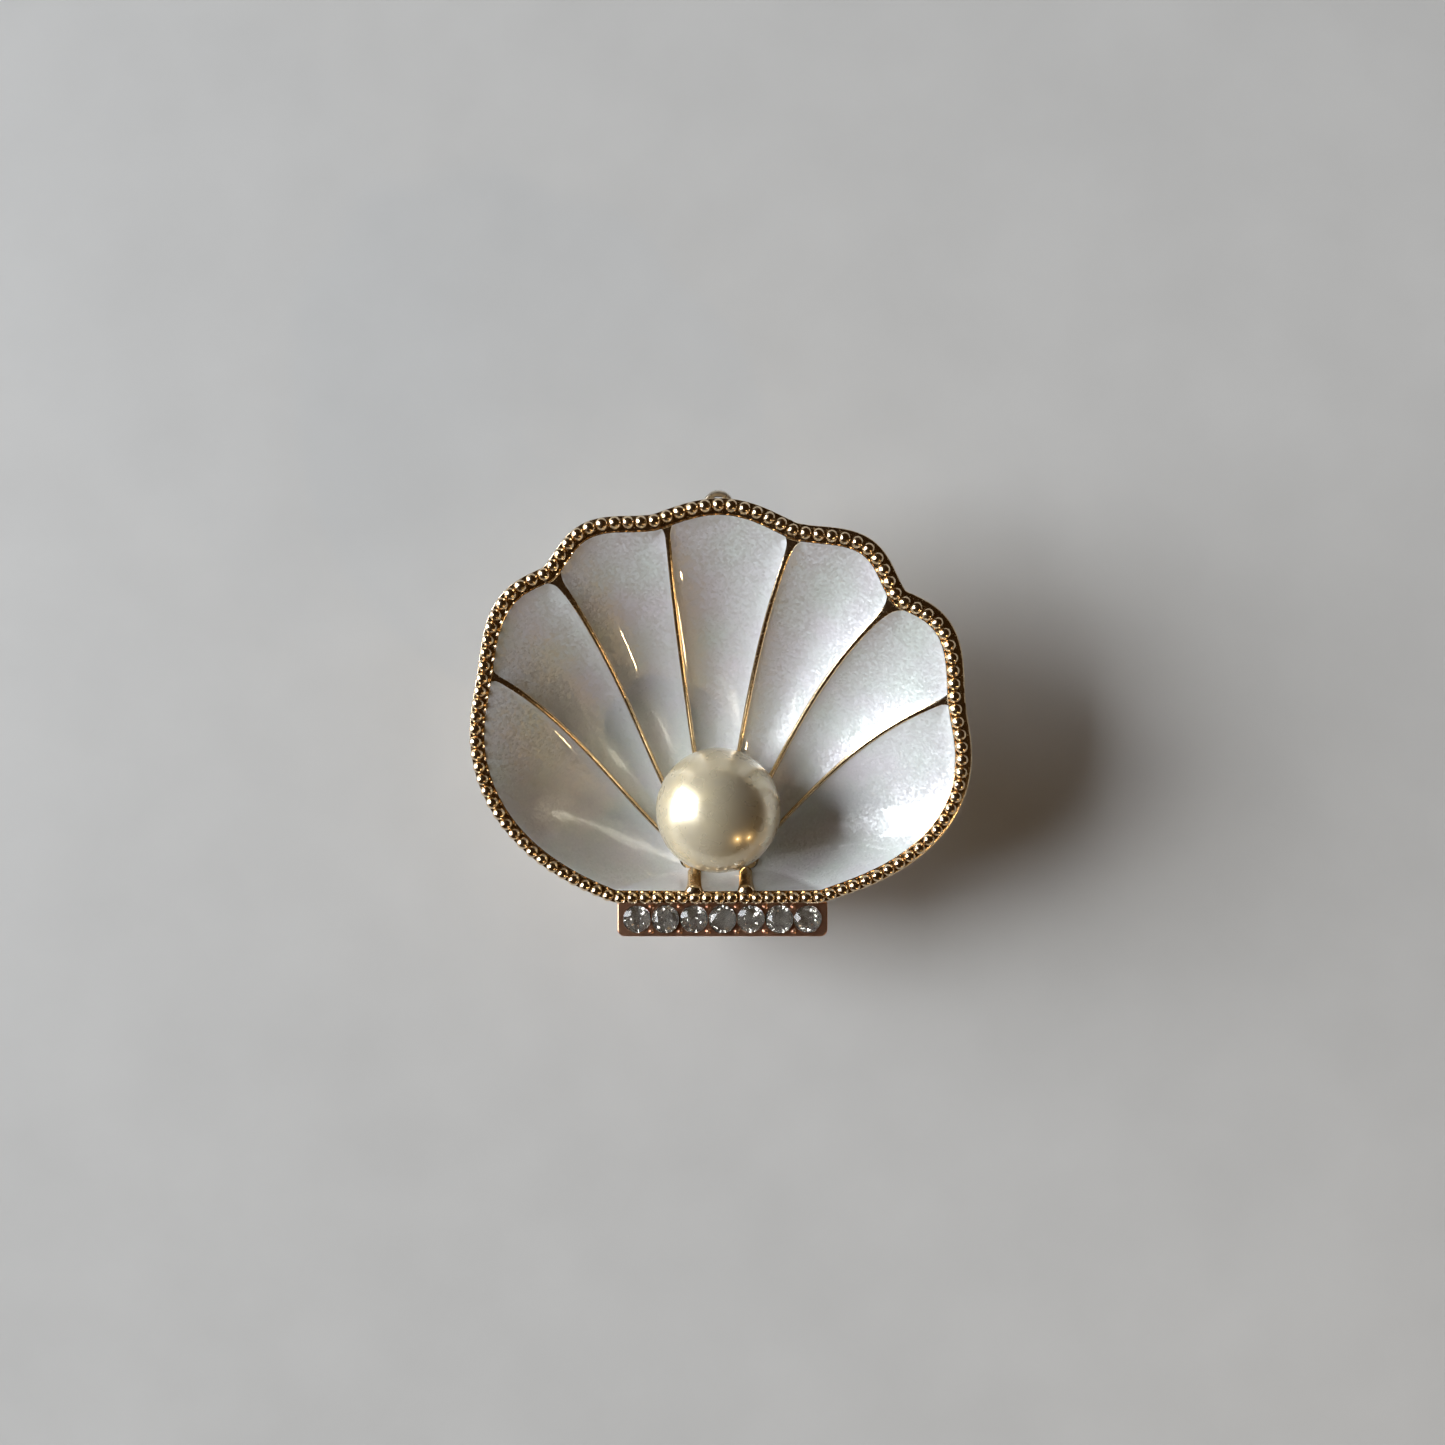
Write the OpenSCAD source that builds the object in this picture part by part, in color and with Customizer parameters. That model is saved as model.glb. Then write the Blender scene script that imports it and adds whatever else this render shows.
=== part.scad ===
// Hair clip: an enamelled scallop-shell dish with a pearl and a bar of round stones, fixed to the
// upper jaw of a sprung clip. It lies on the flat lower jaw, with the origin in the middle of that
// jaw's underside. +X is to the right, +Y points to the crown of the shell, +Z is up. Millimetres.

/* [Shell] */
// Width of the shell across its two widest lobes
shell_w = 47; // [45:0.5:49]
// Tilt of the rim, crown raised
rim_tilt = 13; // [11:0.5:14]
// Height of the rim plane above the table, below the shell's middle
rim_z = 17.4; // [17.2:0.1:18.5]
// Depth of the dish below the rim plane
dish_depth = 7.65; // [7:0.05:7.8]
// Thickness of the metal wall under the enamel
wall = 1.1; // [0.9:0.1:1.3]
// Height of the outer edge of the rim
rim_edge_h = 1.2; // [1:0.1:1.4]
// Width of the flat rim at the bar
rim_w_min = 1.2; // [1.2:0.05:1.4]
// Extra width of the flat rim at the crown
rim_w_extra = 0.35; // [0:0.05:0.5]
// Extra width of the flat rim on the right
rim_w_right = 0.3; // [0.25:0.05:0.5]
// Width of a rib
rib_w = 0.42; // [0.34:0.02:0.5]
// Height of the ribs above the enamel
rib_h = 0.15; // [0.1:0.01:0.25]

/* [Enamel] */
// Thickness of the enamel
enamel_t = 0.5; // [0.4:0.05:0.6]
// Depth of the hollow along the middle of each lobe
flute = 0.45; // [0.1:0.05:0.5]

/* [Trim] */
// Diameter of a rim bead
bead_d = 1.14; // [1:0.02:1.16]
// Distance between rim beads
bead_pitch = 1.19; // [1.17:0.01:1.3]
// Diameter of the pearl
pearl_d = 12; // [11:0.1:12.2]
// Diameter of a stone
stone_d = 2.7; // [2.5:0.05:2.72]
// Distance between stones
stone_pitch = 2.76; // [2.74:0.01:2.85]
// Length of the stone bar
bar_l = 20.4; // [20:0.1:21]
// Width of the stone bar
bar_w = 3.35; // [3.2:0.05:3.6]
// Thickness of the stone bar
bar_t = 2.3; // [2.2:0.1:2.6]

/* [Clip] */
// Width of the upper jaw
clip_w = 8.6; // [8.2:0.1:9.4]
// Thickness of the jaw strip
strip_t = 0.75; // [0.6:0.05:0.8]
// Slope of the lever
lever_slope = 22; // [20:1:25]
// Distance from the origin to the lever's tip
lever_reach = 22.2; // [20:0.1:23]
// Diameter of the hinge pin
pin_d = 1.5; // [1.2:0.1:1.6]
// Diameter of the spring's wire
wire_d = 0.6; // [0.4:0.05:0.65]
// Turns of the spring
coils = 5; // [3:1:6]

/* [Hidden] */
$fn = 48;

gold = "#c9a06a";
red_gold = "#b07a48";
pearl_white = "#e6e1e0";
cream = "#efe6cf";
steel = "#b9b1a3";

// ---- Outline of the shell -------------------------------------------------------------------
// Directions are clockwise from +Y as seen from above, radii are for the nominal width.
scale_w = shell_w / 47;
corner_dir = 150;
corner_r = 20.1;
notch_dir = [-81, -48.5, -17.5, 21.5, 55, 87];
notch_r = [22.9, 21.4, 19.8, 19.5, 21.1, 23.3];
crown_h = [1.5, 1.25, 1.2, 0.65, 1.4, 1.5, 2.3];
crown_skew = [0.75, 0.75, 1.15, 1, 1.15, 0.75, 0.75];
edge_dir = concat([-corner_dir], notch_dir, [corner_dir]);
edge_r = concat([corner_r], notch_r, [corner_r]);
bottom_y = corner_r * cos(corner_dir) * scale_w;

function lobe_at(a, k = 0) = k == 6 || a < edge_dir[k + 1] ? k : lobe_at(a, k + 1);
function wrap(a) = a > 180 ? a - 360 : a < -180 ? a + 360 : a;

// Radius in direction a: a straight line between notches plus a rounded crown, and one straight
// edge below the corners. The crown leans away from the middle lobe.
function lobe_radius(a, k, t) =
    let (u = k < 3 ? 1 - pow(1 - t, crown_skew[k]) : pow(t, crown_skew[k]))
    edge_r[k] + (edge_r[k + 1] - edge_r[k]) * t + crown_h[k] * pow(sin(180 * u), 1.6);
function outline_r(a) =
    let (b = wrap(a))
    abs(b) >= corner_dir ? bottom_y / cos(b)
    : let (k = lobe_at(b))
      scale_w * lobe_radius(b, k, (b - edge_dir[k]) / (edge_dir[k + 1] - edge_dir[k]));
function outline(a) = outline_r(a) * [sin(a), cos(a)];

function unit(v) = v / norm(v);
function rim_tangent(a) = unit(outline(a + 1) - outline(a - 1));
function inset_pt(a, d) = outline(a) + d * [rim_tangent(a).y, -rim_tangent(a).x];
// 1 on the right of the shell, a little above its middle, fading to 0 a quarter turn away.
function right_side(a) = pow(max(0, cos(a - 80)), 2);
function rim_w(a) = rim_w_min + rim_w_extra * cos(wrap(a) / 2) + rim_w_right * right_side(a);

// ---- Heights --------------------------------------------------------------------------------
function rim_plane(y) = rim_z + tan(rim_tilt) * y;
// The dish is a paraboloid about the pearl, steeper towards the bar, faded out at the rim (v = 1).
bowl_y = -8.4;
bowl_x_reach = 24;
bowl_top_reach = 29;
bowl_foot_reach = 9.5;
function bowl(p) =
    let (dy = p.y - bowl_y)
    1 - 0.9 * (pow(p.x / bowl_x_reach, 2)
               + pow(dy / (dy > 0 ? bowl_top_reach : bowl_foot_reach), 2));
function dish_z(p, v) = rim_plane(p.y) - dish_depth * bowl(p) * (1 - pow(v, 3));
function flute_z(s, v) = -flute * sin(180 * s) * 1.6 * v * (1 - pow(v, 3));

// ---- Ribs -----------------------------------------------------------------------------------
// Eight ribs leave a small slot-shaped hinge ridge under the pearl. Ribs 0 and 1 are the short ones
// beside the neck. Cell k lies between rib k and rib k + 1, and cell 0 is the neck.
ridge_y = -14;
ridge_r = 0.35;
ridge_x = [-2.4, 2.7];
rib_dir = [171.2 - 360, -172.3, -78.4, -47.9, -15, 21.8, 54.8, 84.3, 171.2];
foot_x = [ridge_x[1], ridge_x[0], ridge_x[0], -1.6, -0.8, -0.2, 0.7, ridge_x[1], ridge_x[1]];
rib_bow = [0, 0, 0.4, 0.3, -0.3, -0.5, -1.1, -1.3, 0];
rib_sway = [0, 0, 5.8, 4.2, -0.3, -3, -4.4, -3.7, 0];
short_ribs = [0, 1, 8];
web_w = 0.35;
web_l = 1;
end_power = 16;
groove = 0.06;

function is_short(k) = len(search(k, short_ribs)) > 0;
function foot(k) = [foot_x[k], ridge_y + (is_short(k) ? -ridge_r : ridge_r)];
function rib_end(k) = inset_pt(rib_dir[k], rim_w(rib_dir[k]));
function rib_line(k) = rib_end(k) - foot(k);
function rib_mid(k, v) =
    let (d = unit(rib_line(k)))
    foot(k) + rib_line(k) * v
    + (4 * rib_bow[k] + rib_sway[k] * (2 * v - 1)) * v * (1 - v) * [d.y, -d.x];
// Half the rib's width, with a triangular web where it runs into the rim.
function half_w(k, v) =
    let (w = is_short(k) ? 2.3 * rib_w : rib_w, left = (1 - v) * norm(rib_line(k)) / web_l)
    w / 2 * min(1, 0.5 + 2.5 * v) + web_w * pow(max(0, 1 - left), 2);
// Point on a rib's side, at distance extra outside its edge. At v = 1 it lies on the rim's edge,
// and the last stretch of the side turns to meet it.
function side_dir(k, side, extra) =
    rib_dir[k] + side * (half_w(k, 1) + extra) / norm(rib_end(k)) * 180 / PI;
function side_raw(k, side, extra, v) =
    let (t = rim_tangent(rib_dir[k]), skew = abs(cross(unit(rib_line(k)), t)))
    rib_mid(k, v) + side * (half_w(k, v) + extra * min(1, 0.4 + 3 * v)) / max(0.6, skew) * t;
function side_pt(k, side, extra, v) =
    let (a = side_dir(k, side, extra))
    side_raw(k, side, extra, v)
    + pow(v, end_power) * (inset_pt(a, rim_w(a)) - side_raw(k, side, extra, 1));

// ---- Grid of the dish -----------------------------------------------------------------------
cell_cols = [3, 14, 7, 7, 7, 7, 7, 14];
rows = [0, 0.12, 0.14, 0.23, 0.25, 0.35, 0.46, 0.57, 0.68, 0.78, 0.87, 0.94, 0.98, 1];
row_n = len(rows);
// The first row with enamel: the metal hub under the pearl is bare.
function first_row(k) = k == 0 || k == 1 || k == 7 ? 2 : 4;

function ridge_pt(k, s) =
    k == 1 ? [ridge_x[0] - ridge_r * sin(180 * s), ridge_y - ridge_r * cos(180 * s)]
    : k == 7 ? [ridge_x[1] + ridge_r * sin(180 * s), ridge_y + ridge_r * cos(180 * s)]
    : foot(k) * (1 - s) + foot(k + 1) * s;
function mix(a, b, t) = a * (1 - t) + b * t;
// Blends the cell's four edges: two rib sides, the hinge ridge and the rim.
function cell_pt(k, s, v, extra) =
    let (a0 = side_dir(k, 1, extra), a1 = side_dir(k + 1, -1, extra), a = mix(a0, a1, s),
         l0 = side_pt(k, 1, extra, 0), r0 = side_pt(k + 1, -1, extra, 0))
    mix(side_pt(k, 1, extra, v), side_pt(k + 1, -1, extra, v), s)
    + v * (inset_pt(a, rim_w(a)) - mix(side_pt(k, 1, extra, 1), side_pt(k + 1, -1, extra, 1), s))
    + (1 - v) * (ridge_pt(k, s) - mix(ridge_pt(k, 0), ridge_pt(k, 1), s));

// A column is [rib or cell number, fraction across the cell or side of the rib, is it a rib].
columns = [for (k = [0:7]) each concat(
    [[k, -1, true], [k, 1, true]],
    [for (j = [0:cell_cols[k]]) [k, j / cell_cols[k], false]])];
col_n = len(columns);
function col_dir(c) =
    c[2] ? side_dir(c[0], c[1], 0)
    : mix(side_dir(c[0], 1, groove), side_dir(c[0] + 1, -1, groove), c[1]);
function col_pt(c, v) =
    c[2] ? side_pt(c[0], c[1], 0, v) : cell_pt(c[0], c[1], v, groove);
function on_metal(c, i) = c[2] || i < first_row(c[0]);
function lift(p, z) = [p.x, p.y, z];
function top_pt(c, i) =
    let (p = col_pt(c, rows[i]))
    lift(p, dish_z(p, rows[i])
        + (on_metal(c, i) ? rib_h * (1 - pow(rows[i], 12)) : flute_z(c[1], rows[i]) - enamel_t));
function back_pt(c, i) =
    let (p = col_pt(c, rows[i]))
    lift(p, dish_z(p, rows[i]) + (c[2] ? 0 : flute_z(c[1], rows[i])) - enamel_t - wall);
function rim_pt(c, inset, drop) =
    let (p = inset_pt(col_dir(c), inset))
    lift(p, rim_plane(p.y) - drop);

// Two triangles for each square of a grid whose rows follow one another. With closed rows the
// last column joins the first.
function grid_faces(n_rows, n_cols, first = 0, closed = true) =
    [for (i = [0:n_rows - 2], j = [0:n_cols - (closed ? 1 : 2)])
        let (k = (j + 1) % n_cols,
             a = first + i * n_cols + j, b = first + i * n_cols + k,
             c = first + (i + 1) * n_cols + k, d = first + (i + 1) * n_cols + j)
        each [[a, c, b], [a, d, c]]];

rim_bevel = 0.08;
module casting_surface() {
    top = [for (i = [0:row_n - 1]) each [for (c = columns) top_pt(c, i)]];
    rim = [for (r = [[-groove, 0], [rim_bevel, 0], [0, rim_bevel], [0, rim_edge_h]])
              each [for (c = columns)
                  rim_pt(c, r[0] < 0 ? rim_w(col_dir(c)) + r[0] : r[0], r[1])]];
    back = [for (i = [row_n - 1:-1:0]) each [for (c = columns) back_pt(c, i)]];
    ridge = [(ridge_x[0] + ridge_x[1]) / 2, ridge_y];
    ridge_top = lift(ridge, dish_z(ridge, 0) + rib_h);
    ridge_back = lift(ridge, dish_z(ridge, 0) - enamel_t - wall);
    n_rows = 2 * row_n + 4;
    last = (n_rows - 1) * col_n;
    end = n_rows * col_n;
    polyhedron(
        points = concat(top, rim, back, [ridge_top, ridge_back]),
        faces = concat(
            grid_faces(n_rows, col_n),
            [for (j = [0:col_n - 1]) [end, j, (j + 1) % col_n]],
            [for (j = [0:col_n - 1]) [end + 1, last + (j + 1) % col_n, last + j]]),
        convexity = 10);
}

module shell_casting() { color(gold) casting_surface(); }

// ---- Enamel ---------------------------------------------------------------------------------
fill_gap = 0.02;
module enamel(k) {
    n = cell_cols[k] + 1;
    first = first_row(k);
    band = [for (i = [first:row_n - 1]) i];
    m = len(band);
    function at(i, j, z) = let (p = cell_pt(k, j / cell_cols[k], rows[i], groove))
        lift(p, dish_z(p, rows[i]) + flute_z(j / cell_cols[k], rows[i]) + z);
    top = [for (i = band) each [for (j = [0:n - 1]) at(i, j, 0)]];
    under = [for (i = band) each [for (j = [0:n - 1]) at(i, j, fill_gap - enamel_t)]];
    edge = concat([for (j = [0:n - 1]) j], [for (i = [1:m - 1]) i * n + n - 1],
                  [for (j = [n - 2:-1:0]) (m - 1) * n + j], [for (i = [m - 2:-1:1]) i * n]);
    flipped = [for (f = grid_faces(m, n, m * n, false)) [f[2], f[1], f[0]]];
    walls = [for (e = [0:len(edge) - 1])
        let (a = edge[e], b = edge[(e + 1) % len(edge)])
        each [[a, b, b + m * n], [a, b + m * n, a + m * n]]];
    color(pearl_white)
        polyhedron(points = concat(top, under),
                   faces = concat(grid_faces(m, n, 0, false), flipped, walls), convexity = 8);
}

// ---- Rim beads ------------------------------------------------------------------------------
bead_in = 0.58;
bead_in_right = 0.5;
bead_rise = 0.2;
step = 2;
function bead_pt(a) = inset_pt(a, bead_in + bead_in_right * right_side(a));
bead_path = [for (a = [0:step:360]) bead_pt(a)];
path_len = [for (i = 0, s = 0; i < len(bead_path);
                 i = i + 1, s = s + (i < len(bead_path) ? norm(bead_path[i] - bead_path[i - 1]) : 0))
            s];
bead_n = floor(path_len[len(path_len) - 1] / bead_pitch);
dir_at_len = [for (i = [0:len(path_len) - 1]) [path_len[i], i * step]];

module bead() {
    rotate_extrude()
        intersection() {
            translate([0, bead_rise]) circle(d = bead_d);
            square([bead_d, 2 * bead_d]);
        }
}
module bead_border() {
    color(gold)
        for (i = [0:bead_n - 1]) {
            p = bead_pt(lookup(i * path_len[len(path_len) - 1] / bead_n, dir_at_len));
            translate([p.x, p.y, rim_plane(p.y)]) rotate([rim_tilt, 0, 0]) bead();
        }
}

// ---- Pearl ----------------------------------------------------------------------------------
pearl_y = -8.4;
pearl_clear = 0.06;
seat_reach = pearl_d / 2 + pearl_clear;
seat_y = pearl_y + seat_reach * sin(rim_tilt);
seat_z = dish_z([0, seat_y], 0.2) + rib_h;
peg_d = 0.8;
peg_up = 3;
peg_root = 0.6;
module on_seat() { translate([0, seat_y, seat_z]) rotate([rim_tilt, 0, 0]) children(); }
module pearl() {
    color(cream) on_seat() difference() {
        translate([0, 0, seat_reach]) sphere(d = pearl_d);
        translate([0, 0, -1]) cylinder(d = peg_d + 0.04, h = peg_up + 1.3);
    }
}
module pearl_peg() {
    color(gold) on_seat() translate([0, 0, -peg_root]) cylinder(d = peg_d, h = peg_up + peg_root);
}

// ---- Stone bar ------------------------------------------------------------------------------
bar_x = 0.4;
bar_top = rim_plane(bottom_y) - 0.8;
bar_corner = 0.7;
stone_y = bottom_y - 1.65;
girdle_t = 0.1;
crown_t = 0.42;
pavilion_t = 1.15;
table_ratio = 0.56;
seat_play = 0.02;
girdle_z = bar_top + 0.05;
stone_x = [for (i = [-3:3]) bar_x + i * stone_pitch];

module stone_seat() {
    translate([0, 0, -0.2]) cylinder(d = stone_d + 2 * seat_play, h = 2);
    translate([0, 0, -0.2 - pavilion_t])
        cylinder(d1 = 0.3, d2 = stone_d + 2 * seat_play, h = pavilion_t);
}
module bar_blank() {
    translate([-bar_l / 2, -bar_w + bar_corner]) square([bar_l, bar_w - bar_corner]);
    translate([-bar_l / 2 + bar_corner, -bar_w]) square([bar_l - 2 * bar_corner, bar_w]);
    for (s = [-1, 1]) translate([s * (bar_l / 2 - bar_corner), -bar_w + bar_corner])
        circle(r = bar_corner);
}
module stone_bar() {
    color(red_gold) difference() {
        translate([bar_x, bottom_y, bar_top - bar_t]) linear_extrude(bar_t) bar_blank();
        for (x = stone_x) translate([x, stone_y, girdle_z]) stone_seat();
    }
}
// Brilliant cut reduced to its main facets: eight-sided table, crown, girdle and pavilion.
module rhinestone(i) {
    sides = 16;
    ring = function (r, z, turn)
        [for (j = [0:sides - 1]) let (a = (j + turn) * 360 / sides) [r * cos(a), r * sin(a), z]];
    r = stone_d / 2;
    pts = concat(ring(r * table_ratio, girdle_t / 2 + crown_t, 0), ring(r, girdle_t / 2, 0.5),
                 ring(r, -girdle_t / 2, 0.5), [[0, 0, -pavilion_t], [0, 0, girdle_t / 2 + crown_t]]);
    color("white", 0.7) translate([stone_x[i - 1], stone_y, girdle_z])
        polyhedron(points = pts, faces = concat(
            grid_faces(3, sides),
            [for (j = [0:sides - 1]) [3 * sides + 1, j, (j + 1) % sides]],
            [for (j = [0:sides - 1]) [3 * sides, 2 * sides + (j + 1) % sides, 2 * sides + j]]));
}

// ---- Clip -----------------------------------------------------------------------------------
// The upper jaw is one bent strip: a nose, a straight blade parallel to the rim, and a lever.
// The y, z pairs follow the strip's lower side.
nose_y = -20.3;
nose_z = 0.9;
nose_slope = 30;
bend_y = -16.5;
bend_z = nose_z + (bend_y - nose_y) * tan(nose_slope);
heel_y = 7;
heel_z = bend_z + (heel_y - bend_y) * tan(rim_tilt);
lever_l = (lever_reach - heel_y) / cos(lever_slope);
tip_r = 1.45;
nose_w = 5.4;
slot_w = 0.75;
slot_h = 0.22;
slot_back = 0.65;
pin_y = 5;
pin_z = 3.8;
ear_r = 1.65;
ear_t = 0.7;
lower_w = 6.8;
lower_nose_y = -20.6;
lower_heel_y = 19.5;
ear_gap = 0.12;
run_play = 0.05;
fit_play = 0.01;

// The strip seen from above: round nose, straight sides, and a lever that narrows to a round tip.
module upper_jaw_plan() {
    nose_in = nose_y + nose_w / 2;
    tip_in = lever_reach - tip_r;
    translate([0, nose_in]) circle(d = nose_w);
    polygon([[-nose_w / 2, nose_in], [-clip_w / 2, bend_y], [-clip_w / 2, heel_y], [-tip_r, tip_in],
             [tip_r, tip_in], [clip_w / 2, heel_y], [clip_w / 2, bend_y], [nose_w / 2, nose_in]]);
    translate([0, tip_in]) circle(r = tip_r);
}
// The strip seen from the side, run past the nose and the tip by strip_over.
strip_over = 1;
strip_slope = [nose_slope, rim_tilt, lever_slope];
strip_line = [[nose_y - strip_over, nose_z - strip_over * tan(nose_slope)], [bend_y, bend_z],
              [heel_y, heel_z],
              [lever_reach + strip_over, heel_z + (lever_reach + strip_over - heel_y) * tan(lever_slope)]];
function strip_top(i) =
    let (a = strip_slope[max(0, i - 1)], b = strip_slope[min(2, i)])
    strip_line[i] + strip_t / cos((b - a) / 2) * [-sin((a + b) / 2), cos((a + b) / 2)];
module upper_jaw_strip() {
    intersection() {
        translate([-clip_w, 0, 0]) rotate([90, 0, 90]) linear_extrude(2 * clip_w)
            polygon(concat(strip_line, [for (i = [3:-1:0]) strip_top(i)]));
        linear_extrude(rim_z) upper_jaw_plan();
    }
}
module sloped(y, z, slope) { translate([0, y, z]) rotate([slope, 0, 0]) children(); }
// A flat plate standing along the jaw, its profile drawn in Y and Z, from x to x + ear_t.
module ear(x) { translate([x, 0, 0]) rotate([90, 0, 90]) linear_extrude(ear_t) children(); }
module pin_bore(play) {
    translate([-clip_w, pin_y, pin_z]) rotate([0, 90, 0])
        cylinder(d = pin_d + 2 * play, h = 2 * clip_w);
}
module upper_ear_profile() {
    translate([pin_y, pin_z]) circle(r = ear_r);
    polygon([[pin_y - ear_r, pin_z], [pin_y + ear_r, pin_z],
             [pin_y + ear_r + 0.6, bend_z + (pin_y + ear_r + 0.6 - bend_y) * tan(rim_tilt) + 0.3],
             [pin_y - ear_r - 0.6, bend_z + (pin_y - ear_r - 0.6 - bend_y) * tan(rim_tilt) + 0.3]]);
}
module clip_upper_jaw() {
    color(steel) difference() {
        union() {
            upper_jaw_strip();
            for (x = [-clip_w / 2, clip_w / 2 - ear_t]) ear(x) upper_ear_profile();
        }
        pin_bore(fit_play);
        sloped(heel_y, heel_z, lever_slope)
            translate([-slot_w / 2, lever_l - slot_back - slot_h / 2, -1]) cube([slot_w, slot_h, 3]);
    }
}
module lower_ear_profile() {
    translate([pin_y, pin_z]) circle(r = ear_r);
    polygon([[pin_y - ear_r, pin_z], [pin_y + ear_r, pin_z],
             [pin_y + ear_r + 0.8, strip_t / 2], [pin_y - ear_r - 0.8, strip_t / 2]]);
}
module clip_lower_jaw() {
    ear_x = clip_w / 2 - ear_t - ear_gap - ear_t;
    color(steel) difference() {
        union() {
            linear_extrude(strip_t) {
                translate([0, lower_nose_y + nose_w / 2]) circle(d = nose_w);
                polygon([[-nose_w / 2, lower_nose_y + nose_w / 2], [-lower_w / 2, bend_y],
                         [-lower_w / 2, heel_y], [-nose_w / 2, lower_heel_y - nose_w / 2],
                         [nose_w / 2, lower_heel_y - nose_w / 2], [lower_w / 2, heel_y],
                         [lower_w / 2, bend_y], [nose_w / 2, lower_nose_y + nose_w / 2]]);
                translate([0, lower_heel_y - nose_w / 2]) circle(d = nose_w);
            }
            for (x = [-ear_x - ear_t, ear_x]) ear(x) lower_ear_profile();
        }
        pin_bore(run_play);
    }
}
module hinge_pin() {
    head_t = 0.4;
    head_d = pin_d + 0.9;
    color(steel) translate([0, pin_y, pin_z]) rotate([0, 90, 0]) {
        translate([0, 0, -clip_w / 2 - head_t]) cylinder(d = head_d, h = head_t);
        translate([0, 0, -clip_w / 2]) cylinder(d = pin_d, h = clip_w);
        translate([0, 0, clip_w / 2]) cylinder(d = head_d, h = head_t);
    }
}

// ---- Solder pad -----------------------------------------------------------------------------
// Fills the space between the back of the dish and the blade, parallel to both.
pad_l = 8;
pad_w = 6;
pad_y = -7.5;
pad_sink = 0.1;
module solder_pad() {
    blade_drop = (rim_plane(pad_y) - bend_z - (pad_y - bend_y) * tan(rim_tilt)) * cos(rim_tilt)
        - strip_t;
    back_drop = (dish_depth * 0.9 + enamel_t + wall - pad_sink) * cos(rim_tilt);
    color(gold) sloped(pad_y, rim_plane(pad_y), rim_tilt)
        translate([0, 0, -blade_drop]) linear_extrude(blade_drop - back_drop) {
            translate([-pad_w / 2, -(pad_l - pad_w) / 2]) square([pad_w, pad_l - pad_w]);
            for (s = [-1, 1]) translate([0, s * (pad_l - pad_w) / 2]) circle(d = pad_w);
        }
}

// ---- Spring ---------------------------------------------------------------------------------
coil_r = 1.55;
coil_step = wire_d + 0.02;
leg_reach = 6.5;
leg_d = 0.92 * wire_d;
module rod(a, b) {
    d = b - a;
    translate(a) rotate([0, acos(d.z / norm(d)), atan2(d.y, d.x)]) cylinder(d = leg_d, h = norm(d));
}
// Point where the straight leg leaves the coil, for a leg that ends at [dy, dz] from the pin.
function leave(t, side) =
    let (a = atan2(t.y, t.x) + side * acos(coil_r / norm(t))) coil_r * [cos(a), sin(a)];
function from_pin(x, q) = [x, pin_y + q.x, pin_z + q.y];
module spring_leg(x, tip, side) { rod(from_pin(x, leave(tip, side)), from_pin(x, tip)); }
module torsion_spring() {
    half = (coils - 1) / 2 * coil_step;
    lever_under = heel_z + (pin_y + leg_reach - heel_y) * tan(lever_slope) - pin_z;
    upper_tip = [leg_reach, lever_under - wire_d * 0.8];
    lower_tip = [leg_reach, strip_t + wire_d / 2 + 0.05 - pin_z];
    color(steel) {
        for (i = [0:coils - 1])
            from_coil(i * coil_step - half) rotate_extrude() translate([coil_r, 0]) circle(d = wire_d);
        spring_leg(half, upper_tip, 1);
        spring_leg(-half, lower_tip, -1);
    }
}
module from_coil(x) { translate([x, pin_y, pin_z]) rotate([0, 90, 0]) children(); }

// ---- Assembly -------------------------------------------------------------------------------
shell_casting();
bead_border();
enamel(1);  // enamel_lobe_1
enamel(2);  // enamel_lobe_2
enamel(3);  // enamel_lobe_3
enamel(4);  // enamel_lobe_4
enamel(5);  // enamel_lobe_5
enamel(6);  // enamel_lobe_6
enamel(7);  // enamel_lobe_7
enamel(0);  // enamel_neck
pearl();
pearl_peg();
stone_bar();
rhinestone(1);  // rhinestone_1
rhinestone(2);  // rhinestone_2
rhinestone(3);  // rhinestone_3
rhinestone(4);  // rhinestone_4
rhinestone(5);  // rhinestone_5
rhinestone(6);  // rhinestone_6
rhinestone(7);  // rhinestone_7
solder_pad();
clip_upper_jaw();
hinge_pin();
torsion_spring();
clip_lower_jaw();
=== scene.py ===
"""Looks of an enamelled shell hair clip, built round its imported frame.

The shell, its rim of beads, the enamel fills, the pearl, the stone bar with its stones and the sprung
clip are each a surface worked out with numpy, in millimetres, in the frame's own axes: +X to the right,
+Y to the crown of the shell, +Z up. Directions round the shell are in degrees, clockwise from +Y.
"""

import math

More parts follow.
